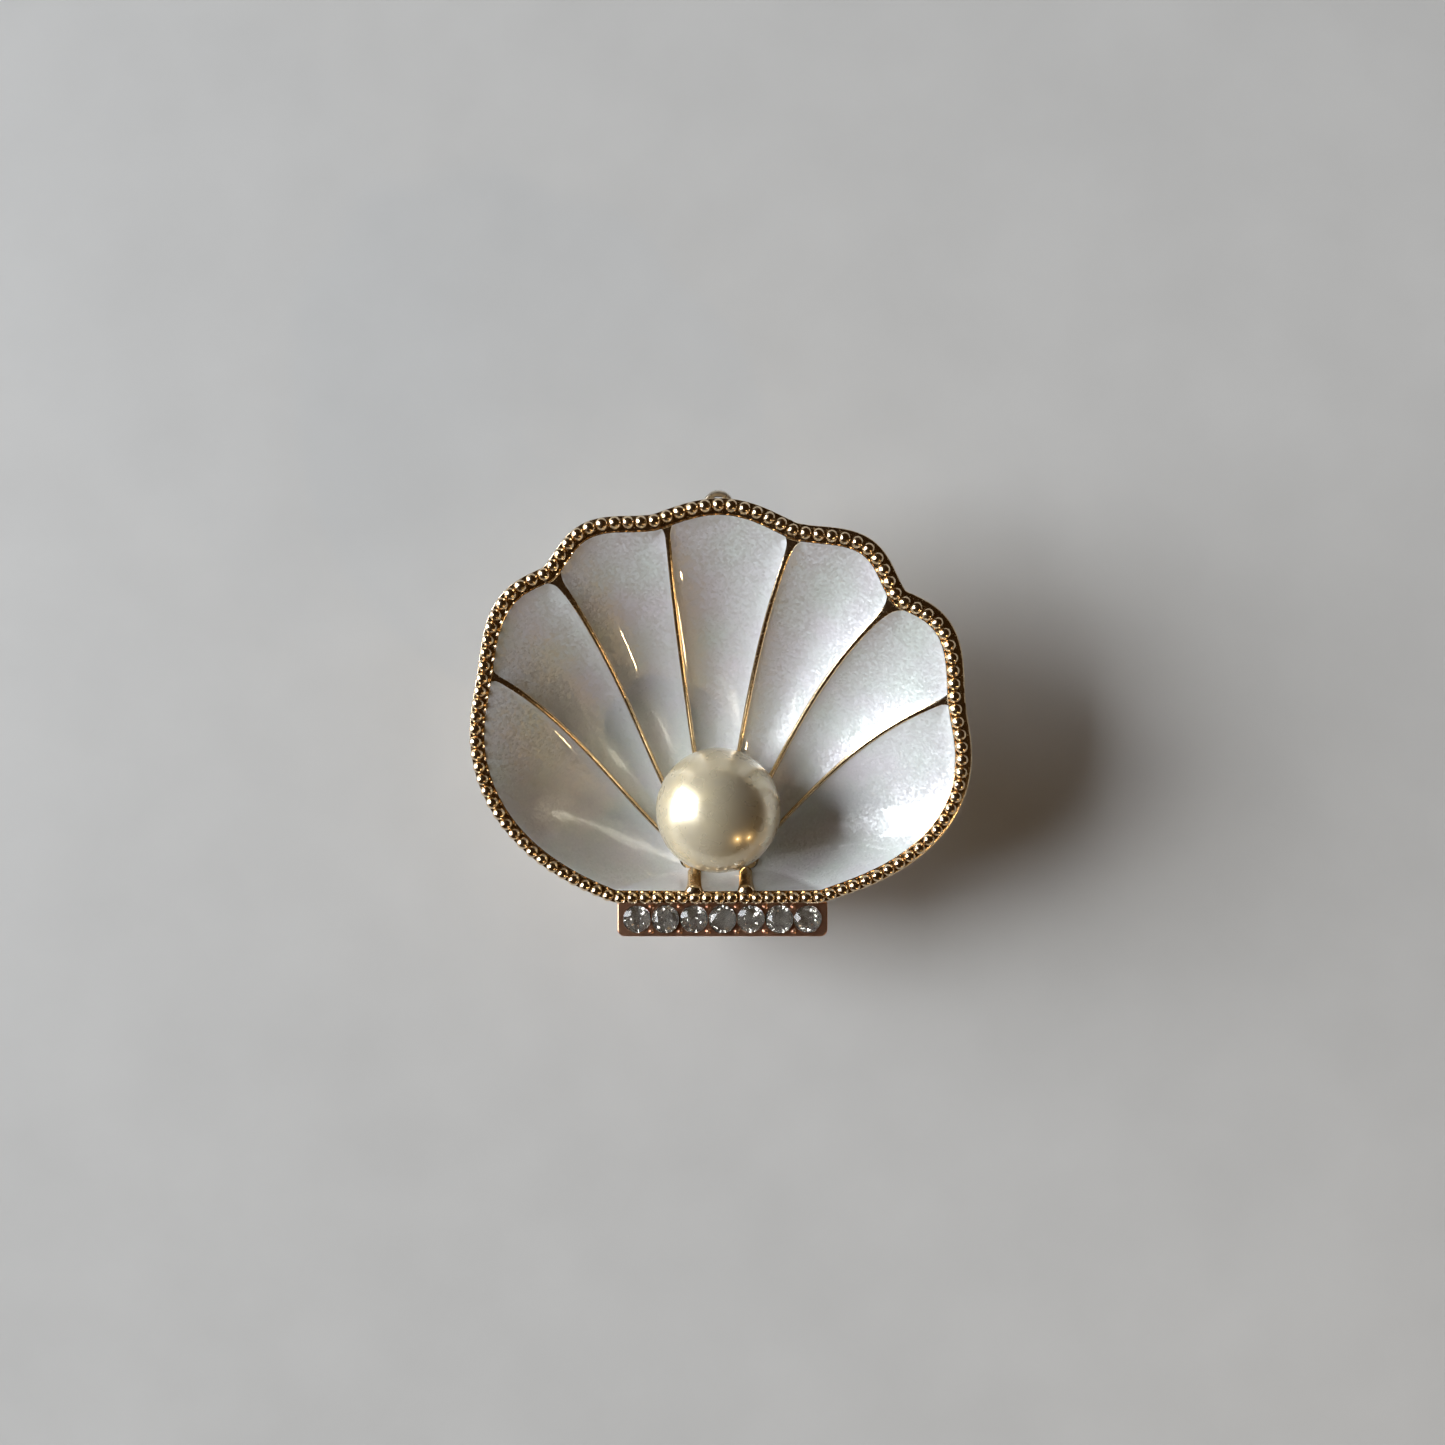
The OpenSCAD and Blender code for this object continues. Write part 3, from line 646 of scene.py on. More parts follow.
class HAIRCLIP_OT_bar(bpy.types.Operator):
    """Build the gilt bar with its drilled seats"""

    bl_idname = "hairclip.bar"
    bl_label = "Stone Bar"

    def execute(self, context):
        """Rings of a rounded box along X. Near each end a ring shrinks by a quarter circle, and the
        lower corners are cut by a larger one. On the top a seat is a step down and then a cone, and
        a small round grain stands at each gap between two stones."""
        (x0, y0, z0), (x1, y1, z1), sides = box_mm("stone_bar")
        half, edge = sides[0] / 2, BAR_EDGE
        near_end = half - edge * (1 - np.sin(np.pi / 2 * np.linspace(0, 1, BAR_TURNS + 1)))
        flat = np.linspace(-half + edge, half - edge, BAR_STEPS)[1:-1]
        x = np.concatenate([-near_end[::-1], flat, near_end])[:, None]

        def arc(r):
            return r - np.sqrt((r**2 - (abs(x) - half + r).clip(0) ** 2).clip(0))

        low, high = y0 + np.maximum(arc(BAR_CORNER), arc(edge)), y1 - arc(edge)
        floor, roof = z0 + arc(edge), z1 - arc(edge)
        turn = np.linspace(0, np.pi / 2, BAR_TURNS)
        over, down = edge * (1 - np.cos(turn)), edge * (1 - np.sin(turn))
        across = np.linspace(0, 1, BAR_TOP_STEPS)[1:-1]
        y = np.concatenate([low + over, lerp(low + edge, high - edge, across),
                            high - over[::-1]], 1)
        z = np.concatenate([roof - down, roof + 0 * across, roof - down[::-1]], 1)
        x = (x0 + x1) / 2 + x + 0 * y
        top = np.stack([x, y, z - self.seat_depth(x, y)], -1)
        under = np.stack([x, lerp(high, low, np.linspace(0, 1, y.shape[1])), floor + 0 * y], -1)
        make_piece("stone_bar_gilt", [(*skin(np.concatenate([top, under], 1), "ladder"), 0)],
                   [finish(red_gilt_bar)], SHELL_BODY, ["stone_bar"], crease=40)
        return {"FINISHED"}

    def seat_depth(self, x, y):
        """Depth of the seats below the top, less the height of the grains between the stones."""
        depth = np.zeros_like(x)
        places = stone_places()
        r = (places[1, 0] - places[0, 0]) / 2 - SEAT_LEDGE
        for px, py in places:
            way = np.hypot(x - px, y - py) / r
            depth = np.maximum(depth, np.where(way < 1, SEAT_WALL + SEAT_CONE * (1 - way), 0))
        gaps = (places[1:] + places[:-1]) / 2
        for side in (-GRAIN_Y, GRAIN_Y):
            for px, py in gaps:
                way = np.hypot(x - px, y - py - side) / GRAIN_R
                depth = depth - GRAIN_H * np.sqrt((1 - way**2).clip(0)) * (depth == 0)
        return depth


# ---- Rhinestones ----------------------------------------------------------------------------

TABLE_RATIO = 0.56
GIRDLE_T = 0.1
PAVILION_T = 1.15
STAR_R, LOWER_R = 0.82, 0.27
STONE_TURN = (8, 31, 14, 40, 3, 22, 35)
STONE_LEAN = (9.0, -11.0, 7.0, -6.0, 10.0, -8.0, 6.0)


def brilliant(r, crown_t):
    """A brilliant cut: table, 8 stars, 8 kites and 16 upper halves above the girdle, 8 mains and 16
    lower halves below it. The star and lower-half tips have the height that keeps the kites and the
    mains flat. Returns points, faces of the clear part and faces of the foiled part."""

    def ring(radius, z, n, turn=0.0):
        a = (np.arange(n) + turn) * 2 * np.pi / n
        return lathe(radius, z, a)

    top, girdle = GIRDLE_T / 2 + crown_t, GIRDLE_T / 2
    lean = math.cos(math.pi / 8)
    table = r * TABLE_RATIO
    star_z = top - crown_t * (STAR_R * r * lean - table) / (r - table)
    lower_z = -PAVILION_T - girdle + PAVILION_T * LOWER_R * lean
    points = np.concatenate([ring(table, top, 8), ring(STAR_R * r, star_z, 8, 0.5),
                             ring(r, girdle, 16), ring(r, -girdle, 16),
                             ring(LOWER_R * r, lower_z, 8, 0.5), [[0, 0, -PAVILION_T - girdle]]])
    i, j = np.arange(8), np.arange(16)
    t, star, g, h, low, tip = 0, 8, 16, 32, 48, np.full(8, 56)
    before, after = (i - 1) % 8, (i + 1) % 8
    clear = [np.array([t + i]),
             np.stack([t + i, star + i, t + after], -1),
             np.stack([t + i, star + before, g + 2 * i, star + i], -1),
             np.stack([star + i, g + 2 * i, g + 2 * i + 1], -1),
             np.stack([star + i, g + 2 * i + 1, g + (2 * i + 2) % 16], -1),
             np.stack([g + j, h + j, h + (j + 1) % 16, g + (j + 1) % 16], -1)]
    foiled = [np.stack([tip, low + i, h + 2 * i, low + before], -1),
              np.stack([low + i, h + 2 * i + 1, h + 2 * i], -1),
              np.stack([low + i, h + (2 * i + 2) % 16, h + 2 * i + 1], -1)]
    return points, clear, foiled


class HAIRCLIP_OT_stones(bpy.types.Operator):
    """Build the seven foil-backed brilliants"""

    bl_idname = "hairclip.stones"
    bl_label = "Rhinestones"

    def execute(self, context):
        for node, turn, lean in zip(STONES, STONE_TURN, STONE_LEAN):
            low, high, sides = box_mm(node)
            r = sides[0] / 2 / math.cos(math.pi / 16)
            points, clear, foiled = brilliant(r, sides[2] - PAVILION_T - GIRDLE_T)
            c, s = cosine(turn), sine(turn)
            spin = np.array([[c, -s, 0], [s, c, 0], [0, 0, 1]])
            seat = [*(low + high)[:2] / 2, low[2] + PAVILION_T + GIRDLE_T / 2]
            placed = tilted(points, lean) @ spin.T + seat
            piece = make_piece(node.replace("rhinestone", "brilliant"),
                               [(placed, clear, 0), (placed, foiled, 1)],
                               [finish(stone_glass), finish(stone_foil)], SHELL_BODY, [node],
                               crease=1)
            weld(piece)
        return {"FINISHED"}


def weld(piece):
    """Joins points that lie in one place, so that the two parts of a stone close one body."""
    mesh = bmesh.new()
    mesh.from_mesh(piece.data)
    bmesh.ops.remove_doubles(mesh, verts=mesh.verts, dist=1e-7)
    bmesh.ops.recalc_face_normals(mesh, faces=mesh.faces)
    mesh.to_mesh(piece.data)
    mesh.free()


# ---- Clip -----------------------------------------------------------------------------------

NOSE = (-20.3, 0.9)
NOSE_SLOPE, LEVER_SLOPE = 30.0, 22.0
BEND_Y, HEEL_Y, LEVER_REACH = -16.5, 7.0, 22.2
CLIP_W, NOSE_W, TIP_W, LOWER_W = 8.6, 5.4, 2.9, 6.8
STRIP_T = 0.75
LOWER_NOSE_Y, LOWER_END_Y = -20.6, 19.5
PIN_Y, PIN_Z, PIN_R = 5.0, 3.8, 0.75
EAR_R, EAR_T, EAR_GAP = 1.65, 0.7, 0.12
BEND_LENGTH = 1.6
STRIP_EDGE, STRIP_STEPS, EDGE_TURNS, TOP_POINTS = 0.16, 260, 5, 7
PLATE_EDGE, PLATE_BREAK, PIN_PLAY, EAR_SIDES = 0.1, 0.3, 1.04, 96
EAR_EASE, EAR_EASE_LENGTH = 0.15, 0.35
UPPER_EAR, LOWER_EAR, EAR_SINK = 0.5, 0.7, 0.3
TAB_L, TAB_LAP, TAB_SIDES, TAB_EDGE, TAB_SPARE = 3.0, 0.4, 128, 0.12, 0.02
SLOT_HALF, SLOT_IN, SLOT_POWER = (0.36, 0.11), 0.65, 0.4
HEAD_R, HEAD_T, HEAD_TOP, HEAD_UNDER = 0.45, 0.4, 0.05, 0.02
HEAD_BANDS, PIN_SIDES = 7, 48
SOLDER_WAIST, SOLDER_STRAIGHT, SOLDER_SIDES, SOLDER_STEPS = 0.35, 1.0, 72, 19


def strip_section(w, t):
    """Ring of a strip's section, w wide and t thick above its lower line, with rounded edges: over
    the top from left to right and back underneath. w is an array, one width for each ring."""
    w = w[:, None]
    turn = np.linspace(0, np.pi / 2, EDGE_TURNS)[None, :]
    edge = np.minimum(STRIP_EDGE, w / 2)
    left = np.stack([-w / 2 + edge * (1 - np.cos(turn)), t - edge * (1 - np.sin(turn))], -1)
    flat = np.linspace(-1, 1, TOP_POINTS)[None, 1:-1] * (w / 2 - edge)
    top = np.stack([flat, np.full_like(flat, t)], -1)
    half = np.concatenate([left, top, (left * [-1, 1])[:, ::-1]], 1)
    return np.concatenate([half, (half * [1, -1] + [0, t])[:, ::-1]], 1)


def sheet_strip(y0, z0, slopes, bends, end, widths):
    """A strip bent along Y: its slope is constant between bends and eases over BEND_LENGTH at each,
    and its lower line is the running sum of the slope's cosine and sine. widths gives the width at
    each distance along it."""
    run = np.linspace(0, end, STRIP_STEPS)
    steep = np.full_like(run, slopes[0])
    for bend, before, after in zip(bends, slopes, slopes[1:]):
        steep = steep + smooth((run - bend) / BEND_LENGTH + 0.5) * (after - before)
    steep = np.radians(steep)
    step = np.diff(run, prepend=0)
    y, z = y0 + np.cumsum(step * np.cos(steep)), z0 + np.cumsum(step * np.sin(steep))
    x, up = np.moveaxis(strip_section(widths(run), STRIP_T), -1, 0)
    rings = np.stack([x, y[:, None] - up * np.sin(steep)[:, None],
                      z[:, None] + up * np.cos(steep)[:, None]], -1)
    return skin(rings, "ladder"), (y[-1], z[-1], math.degrees(steep[-1]))


def rounded_end(run, w):
    """Width of a strip with a round end of width w, at each distance from that end."""
    return 2 * np.sqrt((w**2 / 4 - (w / 2 - np.minimum(run, w / 2)) ** 2).clip(1e-4))


def pierced_plate(hole, outer, t, edge=PLATE_EDGE):
    """A flat plate between two outlines of equally many points, with its edges broken: rings from
    the hole over the front to the outer edge, and back underneath."""
    out, high = unit(outer - hole) * edge, t / 2
    front = [(hole, high - edge), (hole + out, high), ((hole + outer) / 2, high),
             (outer - out, high), (outer - PLATE_BREAK * out, high - PLATE_BREAK * edge),
             (outer, high - edge)]
    back = [(p, -z) for p, z in front[::-1]]
    return np.stack([raised(p, z) for p, z in front + back])


def ear_outline(n, reach, foot_y, foot_z):
    """Outline of an ear about the pin: a round end, and two straight sides that widen to its foot.
    Point j lies in direction j of n, at the furthest of the circle and the foot's rectangle."""
    y, z = np.cos(circle(n)), np.sin(circle(n))
    sign = np.sign(foot_z)
    down = (z * sign).clip(1e-6)
    toward = smooth((z * sign - EAR_EASE) / EAR_EASE_LENGTH)
    r = np.maximum(reach, np.minimum(foot_z * sign / down, foot_y / abs(y).clip(1e-6)) * toward)
    return np.column_stack([r * y, r * z])


def ears(xs, foot_y, foot_z):
    """Two ears standing along the clip at x and x + EAR_T, pierced for the pin."""
    a = circle(EAR_SIDES)
    hole = PIN_R * PIN_PLAY * np.column_stack([np.cos(a), np.sin(a)])
    y, z, x = np.moveaxis(
        pierced_plate(hole, ear_outline(EAR_SIDES, EAR_R, foot_y, foot_z), EAR_T), -1, 0)
    return [(*skin(np.stack([x + at + EAR_T / 2, y + PIN_Y, z + PIN_Z], -1), "join"), 0) for at in xs]


class HAIRCLIP_OT_clip(bpy.types.Operator):
    """Build the clip's two jaws, the pin and the solder that holds the shell"""

    bl_idname = "hairclip.clip"
    bl_label = "Sprung Clip"

    def execute(self, context):
        steel = [finish(plated_sheet)]
        upper, lower = self.upper_jaw(), self.lower_jaw()
        make_piece("upper_jaw_sheet", upper, steel, SHELL_BODY, ["clip_upper_jaw"])
        make_piece("lower_jaw_sheet", lower, steel, LOWER_BODY, ["clip_lower_jaw"])
        make_piece("pin_rivet", [(*skin(self.pin()), 0)], steel, SHELL_BODY, ["hinge_pin"])
        make_piece("solder_fillet", [(*skin(self.solder()), 0)], [finish(soft_solder)], SHELL_BODY,
                   ["solder_pad"], crease=60)
        return {"FINISHED"}

    def upper_jaw(self):
        """The bent strip, its pierced tip and two ears that hang from the blade."""
        nose_l = (BEND_Y - NOSE[0]) / cosine(NOSE_SLOPE)
        blade_l = (HEEL_Y - BEND_Y) / cosine(RIM_TILT)
        end = nose_l + blade_l + (LEVER_REACH - HEEL_Y) / cosine(LEVER_SLOPE)

        def widths(run):
            w = np.interp(run, [NOSE_W / 2, nose_l, nose_l + blade_l, end - TIP_W / 2, end],
                          [NOSE_W, CLIP_W, CLIP_W, TIP_W, TIP_W])
            return np.minimum(w, rounded_end(run, NOSE_W) + (run > NOSE_W / 2) * CLIP_W)

        strip, last = sheet_strip(*NOSE, [NOSE_SLOPE, RIM_TILT, LEVER_SLOPE],
                                  [nose_l, nose_l + blade_l], end - TAB_L + TAB_LAP, widths)
        blade_z = NOSE[1] + nose_l * sine(NOSE_SLOPE) + tangent(RIM_TILT) * (PIN_Y - BEND_Y)
        hung = ears([-CLIP_W / 2, CLIP_W / 2 - EAR_T], EAR_R + UPPER_EAR,
                    blade_z + EAR_SINK - PIN_Z)
        return [(*strip, 0), *hung, self.tab(widths(np.array([end - TAB_L]))[0], *last)]

    def tab(self, wide, y, z, steep):
        """The lever's round tip as a plate pierced by a narrow slot. Its outline runs round the
        half circle of the tip and along straight sides to where it covers the strip's end."""
        x, up = np.cos(circle(TAB_SIDES)), np.sin(circle(TAB_SIDES))
        r, down = TIP_W / 2, (-up).clip(1e-6)
        side = lerp(r, wide / 2 + TAB_SPARE / 2, (-up).clip(0))
        reach = np.where(up >= 0, r, np.minimum(side / abs(x).clip(1e-6), (TAB_L - r) / down))
        slot = [half * np.sign(way) * abs(way) ** SLOT_POWER for half, way in zip(SLOT_HALF, (x, up))]
        flat = pierced_plate(np.column_stack(slot) + [0, r - SLOT_IN],
                             np.column_stack([reach * x, reach * up]), STRIP_T + TAB_SPARE, TAB_EDGE)
        flat = flat + [0, TAB_L - TAB_LAP - r, STRIP_T / 2]
        return (*skin(tilted(flat, steep, (0, y, z)), "join"), 0)

    def lower_jaw(self):
        """The flat strip that lies on the table, and its two ears."""
        end = LOWER_END_Y - LOWER_NOSE_Y

        def widths(run):
            w = np.interp(run, [NOSE_W / 2, BEND_Y - LOWER_NOSE_Y, HEEL_Y - LOWER_NOSE_Y,
                                end - NOSE_W / 2], [NOSE_W, LOWER_W, LOWER_W, NOSE_W])
            near = np.minimum(run, end - run)
            return np.minimum(w, rounded_end(near, NOSE_W) + (near > NOSE_W / 2) * LOWER_W)

        strip, _ = sheet_strip(LOWER_NOSE_Y, 0.0, [0.0], [], end, widths)
        ear_x = CLIP_W / 2 - 2 * EAR_T - EAR_GAP
        feet = ears([-ear_x - EAR_T, ear_x], EAR_R + LOWER_EAR, STRIP_T / 2 - PIN_Z)
        return [(*strip, 0), *feet]

    def pin(self):
        """A rivet turned about X: a straight shank between two domed heads."""
        head_r, half = PIN_R + HEAD_R, CLIP_W / 2
        dome = np.linspace(HEAD_TOP, np.pi / 2, HEAD_BANDS)
        x = np.concatenate([half + HEAD_T * np.cos(dome), [half, half - HEAD_UNDER]])
        r = np.concatenate([head_r * np.sin(dome), [head_r, PIN_R]])
        rings = lathe(np.concatenate([r, r[::-1]])[:, None], np.concatenate([x, -x[::-1]])[:, None],
                      circle(PIN_SIDES)[None, :])
        return rings[..., [2, 0, 1]] + [0, PIN_Y, PIN_Z]

    def solder(self):
        """A column of solder with a stadium section that flares at the shell and at the blade by
        the fourth power of the distance from its middle."""
        low, high, sides = box_mm("solder_pad")
        turn = circle(SOLDER_SIDES)[None, :]
        t = np.linspace(-1, 1, SOLDER_STEPS)[:, None]
        tall = (sides[2] - sine(RIM_TILT) * (sides[0] + 2 * SOLDER_STRAIGHT)) / cosine(RIM_TILT)
        rings = lathe(sides[0] / 2 + SOLDER_WAIST * (t**4 - 1), t * tall / 2, turn)
        rings[..., 1] += SOLDER_STRAIGHT * np.sign(np.sin(turn))
        return tilted(rings, RIM_TILT, (low + high) / 2)


# ---- Spring ---------------------------------------------------------------------------------

COIL_R, WIRE_R, COILS = 1.55, 0.3, 5
COIL_STEP = 0.62
LEG_REACH, UPPER_GAP, LOWER_GAP = 6.5, 0.48, 0.35
HELIX_STEPS, LEG_STEPS, WIRE_SIDES = 420, 24, 14
WIRE_SHARE, END_SHARE = 0.97, 0.7


class HAIRCLIP_OT_spring(bpy.types.Operator):
    """Build the torsion spring that closes the jaws"""

    bl_idname = "hairclip.spring"
    bl_label = "Torsion Spring"

    def execute(self, context):
        """A wire along a straight leg under the lever, a helix round the pin and a straight leg on
        the lower jaw. The legs leave the helix along its tangents. The wire's rings stand on the
        radius of the helix and on the cross product of that with the way along it."""
        half = (COILS - 1) / 2 * COIL_STEP
        heel_z = (NOSE[1] + (BEND_Y - NOSE[0]) * tangent(NOSE_SLOPE)
                  + (HEEL_Y - BEND_Y) * tangent(RIM_TILT))
        under = heel_z + (PIN_Y + LEG_REACH - HEEL_Y) * tangent(LEVER_SLOPE) - PIN_Z
        upper = np.array([LEG_REACH, under - UPPER_GAP])
        lower = np.array([LEG_REACH, STRIP_T + LOWER_GAP - PIN_Z])
        start = math.atan2(upper[1], upper[0]) + math.acos(COIL_R / np.linalg.norm(upper))
        stop = math.atan2(lower[1], lower[0]) - math.acos(COIL_R / np.linalg.norm(lower))
        a = np.linspace(start, stop + 2 * np.pi * COILS, HELIX_STEPS)
        helix = lathe(COIL_R, np.linspace(half, -half, len(a)), a)[:, [2, 0, 1]]
        t = np.linspace(0, 1, LEG_STEPS)[:-1, None]
        path = np.concatenate([lerp(np.array([half, *upper]), helix[0], t), helix,
                               lerp(np.array([-half, *lower]), helix[-1], t)[::-1]])
        angle = np.concatenate([np.full(len(t), a[0]), a, np.full(len(t), a[-1])])
        out = lathe(1, 0 * angle, angle)[:, [2, 0, 1]]
        side = unit(np.cross(unit(np.gradient(path, axis=0)), out))
        turn = circle(WIRE_SIDES)[None, :, None]
        wire = np.full((len(path), 1, 1), WIRE_R * WIRE_SHARE)
        wire[[0, -1]] *= END_SHARE
        rings = path[:, None] + wire * (np.cos(turn) * out[:, None] + np.sin(turn) * side[:, None])
        spring = make_piece("torsion_wire", [(*skin(rings + [0, PIN_Y, PIN_Z]), 0)],
                            [finish(spring_wire)], None, ["torsion_spring"], crease=50)
        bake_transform(spring)
        return {"FINISHED"}


# ---- Finishes -------------------------------------------------------------------------------

MIX_FACTOR, MIX_A, MIX_B, MIX_RESULT = 0, 6, 7, 2
FLAKE_SIZE, FLAKE_BRIGHT, FLAKE_LEAN = 0.2, 0.22, 0.22


def add_node(tree, kind, inputs=(), **settings):
    """Adds a node, gives it its settings, and fills its inputs: a socket is linked and anything
    else is set as the value."""
    node = tree.nodes.new(kind)
    for name, value in settings.items():
        setattr(node, name, value)
    for name, value in dict(inputs).items():
        if isinstance(value, bpy.types.NodeSocket):
            tree.links.new(value, node.inputs[name])
        else:
            node.inputs[name].default_value = value
    return node


def finish(make):
    """The material that make builds, built once and named after it."""
    found = bpy.data.materials.get(make.__name__)
    if found:
        return found
    material = bpy.data.materials.new(make.__name__)
    material.use_nodes = True
    tree = material.node_tree
    tree.nodes.clear()
    place = add_node(tree, "ShaderNodeTexCoord").outputs["Object"]
    shader = add_node(tree, "ShaderNodeBsdfPrincipled", make(tree, place))
    add_node(tree, "ShaderNodeOutputMaterial", {"Surface": shader.outputs["BSDF"]})
    return material


def per_mm(size):
    """Scale of a pattern whose features are size millimetres wide."""
    return 1 / (size * MM)


def noise(tree, place, size, low, high, detail=2.0):
    """A cloudy pattern with features size mm wide, spread from low to high."""
    cloud = add_node(tree, "ShaderNodeTexNoise",
                     {"Vector": place, "Scale": per_mm(size), "Detail": detail})
    return add_node(tree, "ShaderNodeMapRange",
                    {"Value": cloud.outputs["Fac"], "From Min": 0.3, "From Max": 0.7,
                     "To Min": low, "To Max": high}).outputs["Result"]


def patchy(tree, place, size, most, colour, other, detail=2.0):
    """A colour that turns to the other in clouds size mm wide, by the share most at the most."""
    return add_node(tree, "ShaderNodeMix",
                    {MIX_FACTOR: noise(tree, place, size, 0, most, detail),
                     MIX_A: (*colour, 1), MIX_B: (*other, 1)}, data_type="RGBA").outputs[MIX_RESULT]


def dents(tree, place, size, depth, detail=2.0):
    """Normals of a surface with dents size mm wide, depth mm from highest to lowest."""
    return add_node(tree, "ShaderNodeBump", {"Height": noise(tree, place, size, 0, 1, detail),
                                             "Distance": depth * MM}).outputs["Normal"]


def metal(tree, place, colour, patches, **surface):
    """Bare metal with darker patches: (size in mm, strongest share, darkening). The surface gives
    the roughness and the normals."""
    size, most, darker = patches
    dark = [c * darker for c in colour]
    return {"Base Color": patchy(tree, place, size, most, colour, dark), "Metallic": 1.0, **surface}


def gilt_casting(tree, place):
    """Champagne gold over copper on a zinc alloy casting, barrel polished. Mirror bright, with the
    soft orange peel of a casting under thin plating and darker patches where it is worn."""
    return metal(tree, place, colours().gold, (2.5, 0.6, 0.72),
                 Roughness=noise(tree, place, 0.25, 0.14, 0.28),
                 Normal=dents(tree, place, 0.5, 0.012, 3))


def gilt_beads(tree, place):
    """The same plating on the beads, which polishing reaches best: brighter and smoother, with
    small dents from the wax they were cast from."""
    return metal(tree, place, colours().gold, (1.5, 0.4, 0.75),
                 Roughness=noise(tree, place, 0.3, 0.12, 0.26),
                 Normal=dents(tree, place, 0.35, 0.015))


def red_gilt_bar(tree, place):
    """Rose gold plating on the milled bar, brushed by hand after soldering. Satin, with a few fine
    lapping marks along its length."""
    along = add_node(tree, "ShaderNodeMapping", {"Vector": place, "Scale": (0.15, 1.0, 1.0)})
    return metal(tree, place, colours().red_gold, (1.8, 0.7, 0.6),
                 Roughness=noise(tree, place, 0.3, 0.3, 0.42),
                 Normal=dents(tree, along.outputs["Vector"], 0.12, 0.004))


def plated_sheet(tree, place):
    """Rolled spring-steel sheet, stamped, tumbled and plated pale gold. Satin, with duller
    rolling lines along the clip."""
    along = add_node(tree, "ShaderNodeMapping", {"Vector": place, "Scale": (1.0, 0.06, 1.0)})
    return metal(tree, place, colours().steel, (3.0, 0.6, 0.7),
                 Roughness=noise(tree, along.outputs["Vector"], 0.4, 0.24, 0.38))


def spring_wire(tree, place):
    """Hard-drawn music wire, oiled. Dark and bright at once, with drawing lines."""
    return metal(tree, place, linear("#8E8A84"), (1.0, 1, 0.6),
                 Roughness=noise(tree, place, 0.4, 0.16, 0.3),
                 Normal=dents(tree, place, 0.2, 0.004))


def soft_solder(tree, place):
    """Tin solder set in place. Grey and frosty, with the wrinkles of its cooling skin."""
    return metal(tree, place, linear("#A9A69F"), (1.2, 1, 0.65),
                 Roughness=noise(tree, place, 0.5, 0.35, 0.55),
                 Normal=dents(tree, place, 0.7, 0.05, 4))


def pearly_enamel(tree, place):
    """Epoxy enamel filled with mica flakes, poured by syringe and left to level. The flakes lie
    nearly flat under a glassy surface, so the body has a satin glow that shifts between lavender
    and green in clouds, with a fine glitter, and the surface a sharp clear gloss. Real flakes are
    0.05 mm, drawn here at FLAKE_SIZE so that they show."""
    flake = add_node(tree, "ShaderNodeTexVoronoi",
                     {"Vector": place, "Scale": per_mm(FLAKE_SIZE)}).outputs["Color"]
    share = add_node(tree, "ShaderNodeSeparateColor", {"Color": flake}).outputs["Red"]
    share = add_node(tree, "ShaderNodeMath", {0: share, 1: FLAKE_BRIGHT}, operation="MULTIPLY")
    clouds = patchy(tree, place, 5.0, 1, colours().enamel, colours().enamel_tint, 3)
    body = add_node(tree, "ShaderNodeMix",
                    {MIX_FACTOR: share.outputs["Value"], MIX_A: clouds,
                     MIX_B: (*linear("#FFFFFF"), 1)}, data_type="RGBA").outputs[MIX_RESULT]
    facing = add_node(tree, "ShaderNodeNewGeometry").outputs["Normal"]
    normal = flake
    for operation, other in (("SUBTRACT", (0.5, 0.5, 0.5)), ("MULTIPLY", (FLAKE_LEAN,) * 3),
                             ("ADD", facing), ("NORMALIZE", (0, 0, 0))):
        normal = add_node(tree, "ShaderNodeVectorMath", {0: normal, 1: other},
                          operation=operation).outputs["Vector"]
    return {"Base Color": body, "Metallic": 0.12, "Roughness": noise(tree, place, 0.8, 0.34, 0.42),
            "Normal": normal, "Coat Weight": 1.0, "Coat Roughness": 0.03, "Coat IOR": 1.5}


def pearl_coat(tree, place):
    """Imitation pearl: a glass ball dipped many times in fish-scale lacquer. Each coat leaves
    faint runs, and light comes back both from the surface and from just under it, so the lustre is
    metallic and blurred with a sharper gloss over it."""
    return {"Base Color": patchy(tree, place, 3.0, 0.5, colours().pearl, linear("#D2C9B8"), 3),
            "Metallic": 0.46, "Roughness": noise(tree, place, 1.6, 0.25, 0.31),
            "Normal": dents(tree, place, 1.4, 0.004, 0), "Coat Weight": 0.8,
            "Coat Roughness": 0.1, "Coat IOR": 1.6}


def stone_glass(tree, place):
    """Machine-cut crystal glass, fire polished. Clear, with a hardly visible warm tinge."""
    return {"Base Color": patchy(tree, place, 1.2, 1, linear("#FFFFFF"), linear("#F5F3EE")),
            "Roughness": 0.0, "IOR": 1.56, "Transmission Weight": 1.0}


def stone_foil(tree, place):
    """Silver foil under lacquer on the stone's back, which turns light back through the glass. It
    creases a little, so some facets are duller."""
    return {"Base Color": patchy(tree, place, 0.9, 0.5, linear("#FFFEFA"), linear("#C4BFB8")),
            "Metallic": 0.85, "Roughness": noise(tree, place, 0.7, 0.0, 0.12),
            "Normal": dents(tree, place, 0.5, 0.006, 3)}


def honed_floor(tree, place):
    """Pale honed stone, kept plain. Matt, with a barely visible cloudiness."""
    return {"Base Color": patchy(tree, place, 14.0, 1, linear("#D2D1CE"), linear("#CDCCC9"), 4),
            "Roughness": noise(tree, place, 6.0, 0.45, 0.6)}


# ---- Stage ----------------------------------------------------------------------------------

